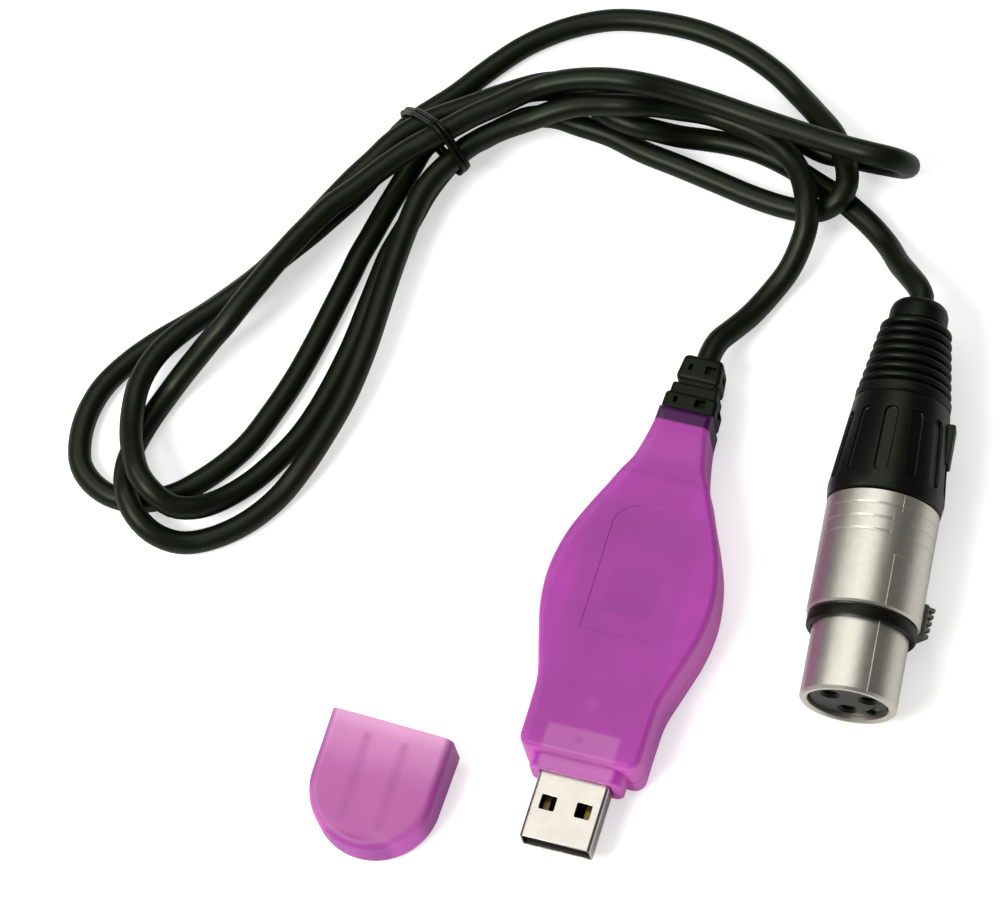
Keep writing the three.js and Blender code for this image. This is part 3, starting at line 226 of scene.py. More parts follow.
def soft_box_group():
    """A mask that is one inside a box in plan and fades out across its edge."""
    group, nodes, links, start, end = group_with(
        "soft_box",
        [("Vector", "NodeSocketVector", (0, 0, 0)), ("Middle", "NodeSocketVector", (0, 0, 0)),
         ("Half Size", "NodeSocketVector", (0.01, 0.01, 1)), ("Blur", "NodeSocketFloat", 0.001),
         ("Strength", "NodeSocketFloat", 1)],
        [("Mask", "NodeSocketFloat")],
    )
    away = nodes.new("ShaderNodeVectorMath")
    away.operation = "SUBTRACT"
    links.new(start.outputs["Vector"], away.inputs[0])
    links.new(start.outputs["Middle"], away.inputs[1])
    distance = nodes.new("ShaderNodeVectorMath")
    distance.operation = "ABSOLUTE"
    links.new(away.outputs["Vector"], distance.inputs[0])
    past = nodes.new("ShaderNodeVectorMath")
    past.operation = "SUBTRACT"
    links.new(distance.outputs["Vector"], past.inputs[0])
    links.new(start.outputs["Half Size"], past.inputs[1])
    apart = nodes.new("ShaderNodeSeparateXYZ")
    links.new(past.outputs["Vector"], apart.inputs["Vector"])
    mask = start.outputs["Strength"]
    for axis in ("X", "Y"):
        fade = nodes.new("ShaderNodeMapRange")
        fade.interpolation_type = "SMOOTHSTEP"
        fill(fade, From_Min=0, To_Min=1, To_Max=0)
        links.new(apart.outputs[axis], fade.inputs["Value"])
        links.new(start.outputs["Blur"], fade.inputs["From Max"])
        product = nodes.new("ShaderNodeMath")
        product.operation = "MULTIPLY"
        links.new(fade.outputs["Result"], product.inputs[0])
        links.new(mask, product.inputs[1])
        mask = product.outputs["Value"]
    links.new(mask, end.inputs["Mask"])
    return group


BLOTCHES = blotch_group()
GRAIN = grain_group()
SOFT_BOX = soft_box_group()

# How far up a face of clear plastic looks where its painted side glow ends and its top tone is full
SIDE_FACING = 0.25
TOP_FACING = 0.9


def linear(red, green, blue):
    """A colour as a picture shows it, 0 to 255, turned into a shader's linear values."""
    values = []
    for value in (red, green, blue):
        share = value / 255
        values.append(share / 12.92 if share <= 0.04045 else ((share + 0.055) / 1.055) ** 2.4)
    return (*values, 1)


def finish_of(name, color, roughness, metallic=0, dark=0.85, patch=120, rough_change=0.08, grain=1500,
              strength=0.05, depth=0.0001, **plain):
    """A material with soft blotches and a fine grain; plain values go straight on the shader."""
    material = bpy.data.materials.new(name)
    material.use_nodes = True
    nodes, links = material.node_tree.nodes, material.node_tree.links
    shader = nodes["Principled BSDF"]
    fill(shader, Metallic=metallic, **plain)
    blotches = nodes.new("ShaderNodeGroup")
    blotches.node_tree = BLOTCHES
    fill(blotches, Color=color, Dark=dark, Scale=patch, Roughness=roughness - rough_change / 2,
         Roughness_Change=rough_change)
    links.new(blotches.outputs["Color"], shader.inputs["Base Color"])
    links.new(blotches.outputs["Roughness"], shader.inputs["Roughness"])
    fine = nodes.new("ShaderNodeGroup")
    fine.node_tree = GRAIN
    fill(fine, Scale=grain, Strength=strength, Depth=depth)
    links.new(fine.outputs["Normal"], shader.inputs["Normal"])
    return material


def clear_finish(name, color, side_glow, place, painted_patches, roughness, **plain):
    """A translucent plastic: its sides get a lighter painted glow, and soft patches of painted shade and
    light show what lies inside it and where it catches the light.
    """
    material = finish_of(name, color, roughness, **plain)
    nodes, links = material.node_tree.nodes, material.node_tree.links
    blotches = next(node for node in nodes if node.type == "GROUP" and node.node_tree == BLOTCHES)
    coordinates = nodes.new("ShaderNodeTexCoord")
    local = nodes.new("ShaderNodeMapping")
    local.vector_type = "TEXTURE"
    fill(local, Location=place.to_translation(), Rotation=place.to_euler())
    links.new(coordinates.outputs["Object"], local.inputs["Vector"])
    # Painted glow: faces that turn away from the top take the lighter side colour
    geometry = nodes.new("ShaderNodeNewGeometry")
    facing = nodes.new("ShaderNodeSeparateXYZ")
    links.new(geometry.outputs["Normal"], facing.inputs["Vector"])
    level = nodes.new("ShaderNodeMapRange")
    fill(level, From_Min=SIDE_FACING, From_Max=TOP_FACING)
    links.new(facing.outputs["Z"], level.inputs["Value"])
    tone = nodes.new("ShaderNodeMix")
    tone.data_type = "RGBA"
    fill(tone, A=side_glow, B=color)
    links.new(level.outputs["Result"], tone.inputs["Factor"])
    result = tone.outputs["Result"]
    # Each patch blends in painted shade or painted light through a soft box
    for middle, half_size, blur, strength, painted_tone in painted_patches:
        mask = nodes.new("ShaderNodeGroup")
        mask.node_tree = SOFT_BOX
        fill(mask, Middle=(middle[0] * MM, middle[1] * MM, 0), Blur=blur * MM, Strength=strength,
             Half_Size=(half_size[0] * MM, half_size[1] * MM, 1))
        links.new(local.outputs["Vector"], mask.inputs["Vector"])
        painted_mix = nodes.new("ShaderNodeMix")
        painted_mix.data_type = "RGBA"
        fill(painted_mix, B=painted_tone)
        links.new(result, painted_mix.inputs["A"])
        links.new(mask.outputs["Mask"], painted_mix.inputs["Factor"])
        result = painted_mix.outputs["Result"]
    links.new(result, blotches.inputs["Color"])
    return material


# Painted shade and glow for what shows faintly through the dongle: darker over the inner parts and at the
# neck, lighter over the plug's rear; middle, half size, blur, strength, tone
DONGLE_PAINTED_LIGHT = [
    ((0, -8), (8.2, 20), 2.5, 0.5, linear(158, 60, 152)),
    ((0, 14), (4.5, 7), 3, 0.45, linear(156, 60, 150)),
    ((0.6, -2), (3.5, 3.5), 1.6, 0.25, linear(146, 50, 142)),
    ((0, -30.4), (5.6, 2.8), 1, 0.6, linear(196, 116, 180)),
    ((0, -33.5), (5.6, 1), 1, 0.5, linear(200, 124, 184)),
    ((-0.4, -28.9), (0.1, 0.1), 0.9, 0.5, linear(160, 72, 150)),
    ((0, 24.5), (9, 1.6), 2, 0.25, linear(184, 90, 172)),
    ((0, 19), (11, 0.2), 0.6, 0.3, linear(150, 54, 144)),
    ((0, -22.4), (0.1, 0.1), 2, 0.26, linear(190, 96, 178)),
    ((0, 30.7), (12, 1.4), 0.5, 0.97, linear(62, 0, 72)),
]
CAP_RIB_X = 3.25
CAP_RIM_X = 10.6
RIB_SHADE = linear(160, 70, 146)
RIM_SHADE = linear(158, 56, 150)
# Painted light and shade on the cap, from its mouth: lighter near the mouth with a painted highlight along
# its edge, painted shade over the ribs inside and along the rim
CAP_PAINTED_LIGHT = [
    ((0, 0), (12, 1), 10, 0.75, linear(222, 150, 200)),
    ((0, 0), (9.6, 0.4), 2.2, 0.6, linear(232, 172, 212)),
    ((-CAP_RIB_X, -3.1), (0.1, 0.1), 0.9, 0.4, RIB_SHADE),
    ((CAP_RIB_X, -3.1), (0.1, 0.1), 0.9, 0.4, RIB_SHADE),
    ((-CAP_RIB_X, -10.5), (0.1, 6.5), 1.3, 0.32, RIB_SHADE),
    ((CAP_RIB_X, -10.5), (0.1, 6.5), 1.3, 0.32, RIB_SHADE),
    ((-CAP_RIM_X, -7), (0.3, 8), 1.1, 0.7, RIM_SHADE),
    ((CAP_RIM_X, -7), (0.3, 8), 1.1, 0.7, RIM_SHADE),
    ((0, -20.4), (7, 0.4), 1.3, 0.6, RIM_SHADE),
]
CAP_X = -31.4
CAP_Y = -33.2
CAP_TURN = Matrix.Rotation(radians(-2), 4, "Z")
CAP_PLACE = Matrix.Translation((CAP_X * MM, CAP_Y * MM, 0)) @ CAP_TURN
OLIVE_SHINE = (0.9, 1, 0.74, 1)
# The clear plastics get a lighter side colour as a painted glow on their sides, and soft patches of painted
# shade and light
PURPLE = clear_finish("purple_plastic", linear(177, 62, 167), linear(246, 118, 226), Matrix.Identity(4),
                      DONGLE_PAINTED_LIGHT, roughness=0.4, dark=0.88, patch=90, Alpha=0.88, Specular_IOR_Level=0.3)
PINK = clear_finish("pink_plastic", linear(186, 98, 165), linear(248, 106, 230), CAP_PLACE, CAP_PAINTED_LIGHT,
                    roughness=0.42, dark=0.93, patch=110, Alpha=0.86, Specular_IOR_Level=0.35)
STEEL = finish_of("plug_steel", linear(205, 200, 190), roughness=0.22, metallic=1, dark=0.92, patch=400,
                  strength=0.03)
NICKEL = finish_of("satin_nickel", linear(226, 222, 209), roughness=0.4, metallic=1, dark=0.92, patch=900,
                   grain=4500, strength=0.2)
DULL = finish_of("dull_black", linear(8, 8, 7), roughness=0.75, Specular_IOR_Level=0.08)
BRASS = finish_of("brass_contact", linear(120, 98, 52), roughness=0.4, metallic=1)
CAST = finish_of("cast_latch", linear(140, 138, 128), roughness=0.42, metallic=1, patch=700, grain=4500,
                 strength=0.15)
GOLD = finish_of("contact_gold", linear(214, 170, 90), roughness=0.25, metallic=1, dark=0.9)
RUBBER = finish_of("black_rubber", linear(8, 8, 6), roughness=0.42, dark=0.8, strength=0.08,
                   Specular_IOR_Level=0.25, Specular_Tint=OLIVE_SHINE)
RELIEF = finish_of("relief_rubber", linear(9, 9, 6), roughness=0.5, Specular_IOR_Level=0.24,
                   Specular_Tint=OLIVE_SHINE)
BLACK = finish_of("black_plastic", linear(9, 9, 8), roughness=0.34, strength=0.04,
                  Specular_IOR_Level=0.28, Specular_Tint=OLIVE_SHINE)
JACKET = finish_of("cable_jacket", linear(11, 13, 6), roughness=0.42, dark=0.8, patch=60, strength=0.06,
                   Specular_IOR_Level=0.3, Specular_Tint=OLIVE_SHINE)
BOARD = finish_of("board_green", linear(20, 66, 40), roughness=0.4)
PALE = finish_of("pale_parts", linear(214, 208, 196), roughness=0.5)
RED_WIRE = finish_of("red_wire", linear(150, 30, 26), roughness=0.4)
BLACK_WIRE = finish_of("black_wire", linear(24, 24, 24), roughness=0.4)
WHITE_WIRE = finish_of("white_wire", linear(205, 200, 190), roughness=0.4)


def paint_node(material, *names):
    for name in names:
        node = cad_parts[name]
        node.data.materials.clear()
        node.data.materials.append(material)


# Modelling helpers, in millimetres until a piece is made

ROUND_PROFILE = 0.5
SHARP_ANGLE = radians(35)
SOFT_EDGE_ANGLE = radians(50)
SOFT_EDGE_STEPS = 2
BOX_EDGE_STEPS = 2
SAME_LEVEL = 1e-5
SAME_PLACE = 1e-4
OVERRUN = 2
PLUG_Z = 5.8


def piece_from(name, bm, material, body, stands_for=(), edge=0):
    """A finished object from a bmesh in millimetres, riding on its body, with its sharp edges rounded."""
    bmesh.ops.scale(bm, vec=(MM, MM, MM), verts=bm.verts)
    mesh = bpy.data.meshes.new(name)
    bm.to_mesh(mesh)
    bm.free()
    piece = bpy.data.objects.new(name, mesh)
    scene.collection.objects.link(piece)
    mesh.materials.append(material)
    shade(piece)
    if edge:
        soften(piece, edge)
    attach(piece, body)
    if stands_for:
        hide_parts(*stands_for)
    return piece


def shade(piece):
    mesh = piece.data
    mesh.polygons.foreach_set("use_smooth", [True] * len(mesh.polygons))
    mesh.set_sharp_from_angle(angle=SHARP_ANGLE)
    weighted = piece.modifiers.new("even_normals", "WEIGHTED_NORMAL")
    weighted.keep_sharp = True


def soften(piece, width):
    """Rounds a piece's sharp edges; it goes before the normals are evened."""
    bevel = piece.modifiers.new("soft_edges", "BEVEL")
    bevel.width = width * MM
    bevel.segments = SOFT_EDGE_STEPS
    bevel.limit_method = "ANGLE"
    bevel.angle_limit = SOFT_EDGE_ANGLE
    bevel.use_clamp_overlap = True
    piece.modifiers.move(len(piece.modifiers) - 1, 0)


def prism(points, low, high, low_round=0, high_round=0, segments=5):
    """A bmesh of an outline drawn up from low to high, with rounded rims."""
    bm = bmesh.new()
    face = bm.faces.new([bm.verts.new((x, y, low)) for x, y in points])
    drawn = bmesh.ops.extrude_face_region(bm, geom=[face])
    top = [v for v in drawn["geom"] if isinstance(v, bmesh.types.BMVert)]
    bmesh.ops.translate(bm, vec=(0, 0, high - low), verts=top)
    for level, radius in ((low, low_round), (high, high_round)):
        if radius:
            rim = [e for e in bm.edges if all(abs(v.co.z - level) < SAME_LEVEL for v in e.verts)]
            bmesh.ops.bevel(bm, geom=rim, offset=radius, offset_type="OFFSET", segments=segments,
                            profile=ROUND_PROFILE, affect="EDGES", material=-1, clamp_overlap=False)
    bmesh.ops.recalc_face_normals(bm, faces=bm.faces)
    return bm


def rounded_rectangle(half_width, half_height, radius, steps=6, middle=(0, 0)):
    points = []
    for corner, (side_x, side_y) in enumerate(((1, -1), (1, 1), (-1, 1), (-1, -1))):
        for k in range(steps + 1):
            turn = (corner - 1 + k / steps) * pi / 2
            x = side_x * (half_width - radius) + radius * cos(turn)
            y = side_y * (half_height - radius) + radius * sin(turn)
            points.append((middle[0] + x, middle[1] + y))
    return points


def bar(section, start, end, start_round=0):
    """A bar along Y at the plug's height, with a rounded rectangle for its section."""
    bm = prism(rounded_rectangle(*section), start, end, start_round)
    turn = Matrix.Translation((0, 0, PLUG_Z)) @ Matrix.Rotation(-pi / 2, 4, "X")
    bmesh.ops.transform(bm, matrix=turn, verts=bm.verts)
    return bm


def block(low, high, bevel=0):
    """A box between two corners, with rounded edges."""
    bm = bmesh.new()
    bmesh.ops.create_cube(bm, size=1)
    size = Vector(high) - Vector(low)
    bmesh.ops.scale(bm, vec=size, verts=bm.verts)
    bmesh.ops.translate(bm, vec=(Vector(high) + Vector(low)) / 2, verts=bm.verts)
    if bevel:
        bmesh.ops.bevel(bm, geom=bm.edges[:], offset=bevel, offset_type="OFFSET", segments=BOX_EDGE_STEPS,
                        profile=ROUND_PROFILE, affect="EDGES", material=-1)
    return bm


def turned(profile, steps=96, closed=True, angle=tau):
    """A bmesh spun about Y from (radius, place) pairs."""
    bm = bmesh.new()
    corners = [bm.verts.new((radius, place, 0)) for radius, place in profile]
    pairs = list(zip(corners, corners[1:]))
    if closed:
        pairs.append((corners[-1], corners[0]))
    edges = [bm.edges.new(pair) for pair in pairs]
    whole = angle == tau
    if not whole:
        bm.faces.new(corners)
    bmesh.ops.spin(bm, geom=bm.faces[:] if not whole else corners + edges, cent=(0, 0, 0), axis=(0, 1, 0),
                   dvec=(0, 0, 0), angle=angle, steps=steps, use_merge=whole)
    bmesh.ops.remove_doubles(bm, verts=bm.verts, dist=SAME_PLACE)
    bmesh.ops.recalc_face_normals(bm, faces=bm.faces)
    return bm


def moved(bm, matrix):
    bmesh.ops.transform(bm, matrix=matrix, verts=bm.verts)
    return bm


def carve(bm, others, operation="DIFFERENCE"):
    """Cuts other bmeshes out of one, or joins them to it, and gives the result."""
    target = bpy.data.objects.new("carved", bpy.data.meshes.new("carved"))
    scene.collection.objects.link(target)
    bm.to_mesh(target.data)
    bm.free()
    helpers = []
    for other in others:
        helper = bpy.data.objects.new("cutter", bpy.data.meshes.new("cutter"))
        scene.collection.objects.link(helper)
        other.to_mesh(helper.data)
        other.free()
        helpers.append(helper)
        step = target.modifiers.new("carve", "BOOLEAN")
        step.operation = operation
        step.solver = "EXACT"
        step.object = helper
    result = bmesh.new()
    result.from_object(target, bpy.context.evaluated_depsgraph_get())
    for unused in helpers + [target]:
        mesh = unused.data
        bpy.data.objects.remove(unused)
        bpy.data.meshes.remove(mesh)
    bmesh.ops.remove_doubles(result, verts=result.verts, dist=SAME_PLACE)
    return result


# Dongle

BODY_LENGTH = 63.6
BODY_HALF_WIDTH = 14.3
BODY_HEIGHT = 11.5
BODY_WALL = 1.3
BODY_CORNER = 2
BODY_LEAST_CORNER = 0.3
BODY_CORNER_STEPS = 6
BODY_SIDE_SPACING = 1.1
# Places along the body and half widths there, both as shares
BODY_SIDE_SHARES = [
    (0.032, 0.717), (0.126, 0.72), (0.189, 0.734), (0.283, 0.846), (0.377, 0.958), (0.456, 1),
    (0.519, 0.986), (0.597, 0.916), (0.676, 0.783), (0.755, 0.622), (0.802, 0.531), (0.841, 0.44),
    (0.88, 0.392), (0.959, 0.329), (1, 0.322),
]
FRONT_Y = -BODY_LENGTH / 2
NECK_Y = BODY_LENGTH / 2
NECK_LAST_STEP = 0.4
PARTING = 4.6
PARTING_GAP = 0.12
PAST_BODY = 5
PAST_BODY_X = 50
PAST_BODY_Y = 60
# Roundings: lower rim, upper rim and steps
BODY_ROUNDING = (1.2, 1.1, 6)
INNER_ROUNDING = (0.5, 0.8, 3)
DONGLE_EDGE = 0.12
# Sections here and below: half width, half height, corner radius and, where given, corner steps
COLLAR_SECTION = (7.9, 3.8, 2)
COLLAR_REACH = 2.5
COLLAR_ROUND = 0.5
PASSAGE_SECTION = (6.15, 2.4, 0.6)
PASSAGE_REACH = 5
PASSAGE_DEPTH = 3
NECK_SECTION = (3.6, 3.75, 0.7)
NECK_DEPTH = 3.5

PEG_PROFILE = [(0.7, 3.6), (1.5, 3.6), (1.5, 10.8), (0.7, 10.8)]
PEG_STEPS = 32
PEG_PLACE = (-1.3, -20.2, 0)
LABEL_HALF_WIDTH = 6.1
LABEL_FRONT_Y = -10
LABEL_STRAIGHT_Y = 9.2
LABEL_ARCH = 4.4
LABEL_ARCH_STEPS = 24
LABEL_DEPTH = 0.16
LABEL_EDGE = 0.12


def body_outline(inset):
    """The dongle's plan outline drawn in by an inset, anticlockwise."""
    corner = max(BODY_CORNER - inset, BODY_LEAST_CORNER)
    knots = [
        (across * BODY_HALF_WIDTH, FRONT_Y + along * BODY_LENGTH, 0)
        for along, across in BODY_SIDE_SHARES
    ]
    side = smooth_route(knots, BODY_SIDE_SPACING)
    right = []
    for k in range(BODY_CORNER_STEPS):
        turn = k / BODY_CORNER_STEPS * pi / 2
        x = side[0].x - inset - corner * (1 - sin(turn))
        right.append((x, FRONT_Y + inset + corner * (1 - cos(turn))))
    start = FRONT_Y + inset + corner
    for point in side:
        if start - SAME_LEVEL <= point.y <= NECK_Y - inset - NECK_LAST_STEP:
            right.append((point.x - inset, point.y))
    right.append((side[-1].x - inset, NECK_Y - inset))
    left = [(-x, y) for x, y in reversed(right)]
    return right + left


def label_outline():
    """The bare label's outline: straight sides and an arched end."""
    points = [(-LABEL_HALF_WIDTH, LABEL_FRONT_Y), (LABEL_HALF_WIDTH, LABEL_FRONT_Y)]
    for k in range(LABEL_ARCH_STEPS + 1):
        turn = k / LABEL_ARCH_STEPS * pi
        points.append((LABEL_HALF_WIDTH * cos(turn), LABEL_STRAIGHT_Y + LABEL_ARCH * sin(turn)))
    return points


def body_hollows():
    """The inside of the shell, the plug's way in and the neck's hole."""
    inside = prism(body_outline(BODY_WALL), BODY_WALL, BODY_HEIGHT - BODY_WALL, *INNER_ROUNDING)
    passage = bar(PASSAGE_SECTION, FRONT_Y - PASSAGE_REACH, FRONT_Y + PASSAGE_DEPTH)
    neck = bar(NECK_SECTION, NECK_Y - NECK_DEPTH, NECK_Y + OVERRUN)
    return [inside, passage, neck]


def make_dongle():
    """The shell, cut at its parting line into an upper and a lower half."""
    whole = prism(body_outline(0), 0, BODY_HEIGHT, *BODY_ROUNDING)
    collar = bar(COLLAR_SECTION, FRONT_Y - COLLAR_REACH, FRONT_Y + BODY_WALL, COLLAR_ROUND)
    whole = carve(whole, [collar], "UNION")
    whole = carve(whole, body_hollows())
    halves = (
        ("upper_case", "upper_shell", PARTING + PARTING_GAP / 2, BODY_HEIGHT + PAST_BODY),
        ("lower_case", "lower_shell", -PAST_BODY, PARTING - PARTING_GAP / 2),
    )
    for name, node, low, high in halves:
        keep = block((-PAST_BODY_X, -PAST_BODY_Y, low), (PAST_BODY_X, PAST_BODY_Y, high))
        half = carve(whole.copy(), [keep], "INTERSECT")
        if name == "upper_case":
            peg = turned(PEG_PROFILE, steps=PEG_STEPS)
            moved(peg, Matrix.Translation(PEG_PLACE) @ Matrix.Rotation(pi / 2, 4, "X"))
            half = carve(half, [peg], "UNION")
            label = prism(label_outline(), BODY_HEIGHT - LABEL_DEPTH, BODY_HEIGHT + OVERRUN, LABEL_EDGE, 0)
            half = carve(half, [label])
        piece_from(name, half, PURPLE, "interface", [node], DONGLE_EDGE)
    whole.free()


# Plug

PLUG_REACH = 11.5
PLUG_LENGTH = 19.3
PLUG_SECTION = (6, 2.25, 0.7)
PLUG_BORE_SECTION = (5.7, 1.95, 0.45)
WINDOW_SECTION = (1.25, 1.25, 0.25, 3)
WINDOW_X = 3
WINDOW_FROM_TIP = 6.4
WINDOW_REACH = 5
PLUG_EDGE = 0.07


def make_plug():
    tip = FRONT_Y - COLLAR_REACH - PLUG_REACH
    rear = tip + PLUG_LENGTH
    cutters = [bar(PLUG_BORE_SECTION, tip - OVERRUN, rear + OVERRUN)]
    for side in (-1, 1):
        outline = rounded_rectangle(*WINDOW_SECTION, middle=(side * WINDOW_X, tip + WINDOW_FROM_TIP))
        cutters.append(prism(outline, PLUG_Z - WINDOW_REACH, PLUG_Z + WINDOW_REACH))
    shell = carve(bar(PLUG_SECTION, tip, rear), cutters)
    piece_from("plug_sheet", shell, STEEL, "interface", ["usb_plug_shell"], PLUG_EDGE)


# Cap, with its mouth at the origin until it is moved to its place

CAP_MATRIX = Matrix.Translation((CAP_X, CAP_Y, 0)) @ CAP_TURN
CAP_HALF_WIDTH = 10.6
CAP_LENGTH = 21.2
CAP_HEIGHT = 10
CAP_END_HEIGHT = 7.4
CAP_WALL = 1.15
CAP_ROUNDING = (1.6, 1.6, 6)
CAVITY_ROUNDING = (0.5, 0.5, 4)
CAP_ARC_STEPS = 48
CAP_PAST_MOUTH = 3
# The box that cuts the mouth flat: its low and high corners
MOUTH_CUT = ((-20, 0, -5), (20, 10, 20))
CAP_RIB_HALF_WIDTH = 0.5
CAP_RIB_START = -2.8
CAP_RIB_END = -16.8
CAP_RIB_HEIGHT = 0.6
CAP_RIB_EDGE = 0.2
CAP_EDGE = 0.12


def cap_outline(inset, mouth):
    """The cap's plan outline: a half round closed end and straight sides up to the mouth."""
    radius = CAP_HALF_WIDTH - inset
    middle = -(CAP_LENGTH - CAP_HALF_WIDTH)
    points = []
    for k in range(CAP_ARC_STEPS + 1):
        turn = pi + k / CAP_ARC_STEPS * pi
        points.append((radius * cos(turn), middle + radius * sin(turn)))
    return points + [(radius, mouth), (-radius, mouth)]


def slope_top(bm):
    """Lowers what lies above the cap's floor towards the closed end."""
    for vert in bm.verts:
        along = min(max(-vert.co.y / CAP_LENGTH, 0), 1)
        share = max(vert.co.z - CAP_WALL, 0) / (CAP_HEIGHT - CAP_WALL)
        vert.co.z -= along * (CAP_HEIGHT - CAP_END_HEIGHT) * share
    return bm


def make_cap():
    outside = prism(cap_outline(0, CAP_PAST_MOUTH), 0, CAP_HEIGHT, *CAP_ROUNDING)
    outside = slope_top(carve(outside, [block(*MOUTH_CUT)]))
    ceiling = CAP_HEIGHT - CAP_WALL
    cavity = slope_top(prism(cap_outline(CAP_WALL, CAP_PAST_MOUTH), CAP_WALL, ceiling, *CAVITY_ROUNDING))
    ribs = []
    for side in (-1, 1):
        left = side * CAP_RIB_X - CAP_RIB_HALF_WIDTH
        right = side * CAP_RIB_X + CAP_RIB_HALF_WIDTH
        ribs.append(block((left, CAP_RIB_END, 0), (right, CAP_RIB_START, CAP_WALL + CAP_RIB_HEIGHT),
                          CAP_RIB_EDGE))
        high = block((left, CAP_RIB_END, ceiling - CAP_RIB_HEIGHT), (right, CAP_RIB_START, CAP_HEIGHT),
                     CAP_RIB_EDGE)
        ribs.append(slope_top(high))
    cavity = carve(cavity, ribs)
    cap = moved(carve(outside, [cavity]), CAP_MATRIX)
    piece_from("cap_case", cap, PINK, "cap", ["cap_shell"], CAP_EDGE)


# Strain relief

RELIEF_GAP = 0.15
RELIEF_STEP_LENGTH = 3.5
RELIEF_WIDE_LENGTH = 5.4
RELIEF_GROOVE = 0.6
RELIEF_ROOT_LENGTH = 4.4
RELIEF_END_Y = 42.7
RELIEF_JOIN = 1
RELIEF_ROUND_STEPS = 4
# Half widths and half heights at each tier's start and end, and its rounding
ROOT_TIER = (3.3, 3.3, 3.45, 3.45, 0.4)
FIRST_TIER = (4.7, 4.6, 3.9, 3.8, 0.8)
SECOND_TIER = (4.1, 4, 3.4, 3.3, 0.5)
GROOVE_TIER = (3.1, 3.1, 3, 3, 0.3)
LAST_TIER = (3.9, 3.4, 3.6, 3.4, 0.9)
# Windows in the relief's top and underside, from each tier's middle
SLOT_FLOOR = 2.35
SLOT_REACH = 6
SLOT_EDGE = 0.15
SLOT_LEFT = 0.8
SLOT_RIGHT = 2.6
SLOT_BACK = 0.9
SLOT_FRONT = 0.7
NOTCH_OUTER = 1.4
NOTCH_INNER = 2.1
NOTCH_BACK = 0.7
NOTCH_FRONT = 0.5
SIDE_SLOT_DEPTH = 0.9
SIDE_SLOT_REACH = 3
SIDE_SLOT_HALF_LENGTH = 0.6
SIDE_SLOT_HALF_HEIGHT = 1.4
FIRST_SLOT_HALF_WIDTH = 4.3
LAST_SLOT_HALF_WIDTH = 3.5
FIRST_SLOT_SHIFT = 0.5
RELIEF_BORE_SECTION = (2.15, 2.15, 2.14, 8)
RELIEF_BORE_START = 8
RELIEF_BORE_PAST = 3
RELIEF_EDGE = 0.1


def relief_segment(start, end, width, end_width, height, end_height, rounding):
    """One tapered block of the relief along Y, its edges rounded."""
    bm = block((-width, start, -height), (width, end, height))
    for vert in bm.verts:
        if vert.co.y > (start + end) / 2:
            vert.co.x *= end_width / width
            vert.co.z *= end_height / height
    bmesh.ops.bevel(bm, geom=bm.edges[:], offset=rounding, offset_type="OFFSET",
                    segments=RELIEF_ROUND_STEPS, profile=ROUND_PROFILE, affect="EDGES", material=-1)
    return moved(bm, Matrix.Translation((0, 0, PLUG_Z)))


def relief_slots(middle, width):
    """The window, notch and side slots of one tier, above and below."""
    slots = []
    for face in (-1, 1):
        low, high = sorted((PLUG_Z + face * SLOT_FLOOR, PLUG_Z + face * SLOT_REACH))
        slots.append(block((SLOT_LEFT, middle - SLOT_BACK, low), (SLOT_RIGHT, middle + SLOT_FRONT, high),
                           SLOT_EDGE))
        slots.append(block((NOTCH_OUTER - width, middle - NOTCH_BACK, low),
                           (NOTCH_INNER - width, middle + NOTCH_FRONT, high), SLOT_EDGE))
    for side in (-1, 1):
        left, right = sorted((side * (width - SIDE_SLOT_DEPTH), side * (width + SIDE_SLOT_REACH)))
        slots.append(block((left, middle - SIDE_SLOT_HALF_LENGTH, PLUG_Z - SIDE_SLOT_HALF_HEIGHT),
                           (right, middle + SIDE_SLOT_HALF_LENGTH, PLUG_Z + SIDE_SLOT_HALF_HEIGHT),
                           SLOT_EDGE))
    return slots


def make_strain_relief():
    wide_start = NECK_Y + RELIEF_GAP
    wide_end = wide_start + RELIEF_WIDE_LENGTH
    slim_start = wide_end + RELIEF_GROOVE
    step = wide_start + RELIEF_STEP_LENGTH
    relief = relief_segment(wide_start, step, *FIRST_TIER)
    joined = [
        relief_segment(NECK_Y - RELIEF_ROOT_LENGTH, wide_start + RELIEF_JOIN, *ROOT_TIER),
        relief_segment(step - RELIEF_JOIN, wide_end, *SECOND_TIER),
        relief_segment(wide_end - RELIEF_JOIN, slim_start + RELIEF_JOIN, *GROOVE_TIER),
        relief_segment(slim_start, RELIEF_END_Y, *LAST_TIER),
    ]
    relief = carve(relief, joined, "UNION")
    cutters = relief_slots((wide_start + step + FIRST_SLOT_SHIFT) / 2, FIRST_SLOT_HALF_WIDTH)
    cutters += relief_slots((slim_start + RELIEF_END_Y) / 2, LAST_SLOT_HALF_WIDTH)
    cutters.append(bar(RELIEF_BORE_SECTION, NECK_Y - RELIEF_BORE_START, RELIEF_END_Y + RELIEF_BORE_PAST))
    relief = carve(relief, cutters)
    piece_from("strain_relief", relief, RELIEF, "interface", ["cable_strain_relief"],
               RELIEF_EDGE)


# Connector, along its own Y from its face, in (radius, place) profiles

CONNECTOR_PLACE = Matrix.Translation((39.8, -12, 9.8)) @ Matrix.Rotation(radians(5.55), 4, "Z")
CONNECTOR_STEPS = 120
LATCH_ANGLE = radians(36)
LATCH_TURN = Matrix.Rotation(LATCH_ANGLE, 4, "Y")
LATCH_PLACE = CONNECTOR_PLACE @ LATCH_TURN

BARREL_RADIUS = 9.4
LINE_PLACES = (32.4, 30, 27.7)
LINE_RADIUS = 9.22
LINE_SLOPE = 0.12
LINE_FLOOR_END = 0.28
LINE_WIDTH = 0.4
NOSE_PROFILE = [(6.7, 0.3), (7, 0), (7.6, 0), (8, 0.45), (8, 14.7), (9.05, 14.7), (BARREL_RADIUS, 15.05)]
BARREL_END_PROFILE = [(BARREL_RADIUS, 34.5), (7.5, 34.5), (7.5, 27), (6.7, 27)]
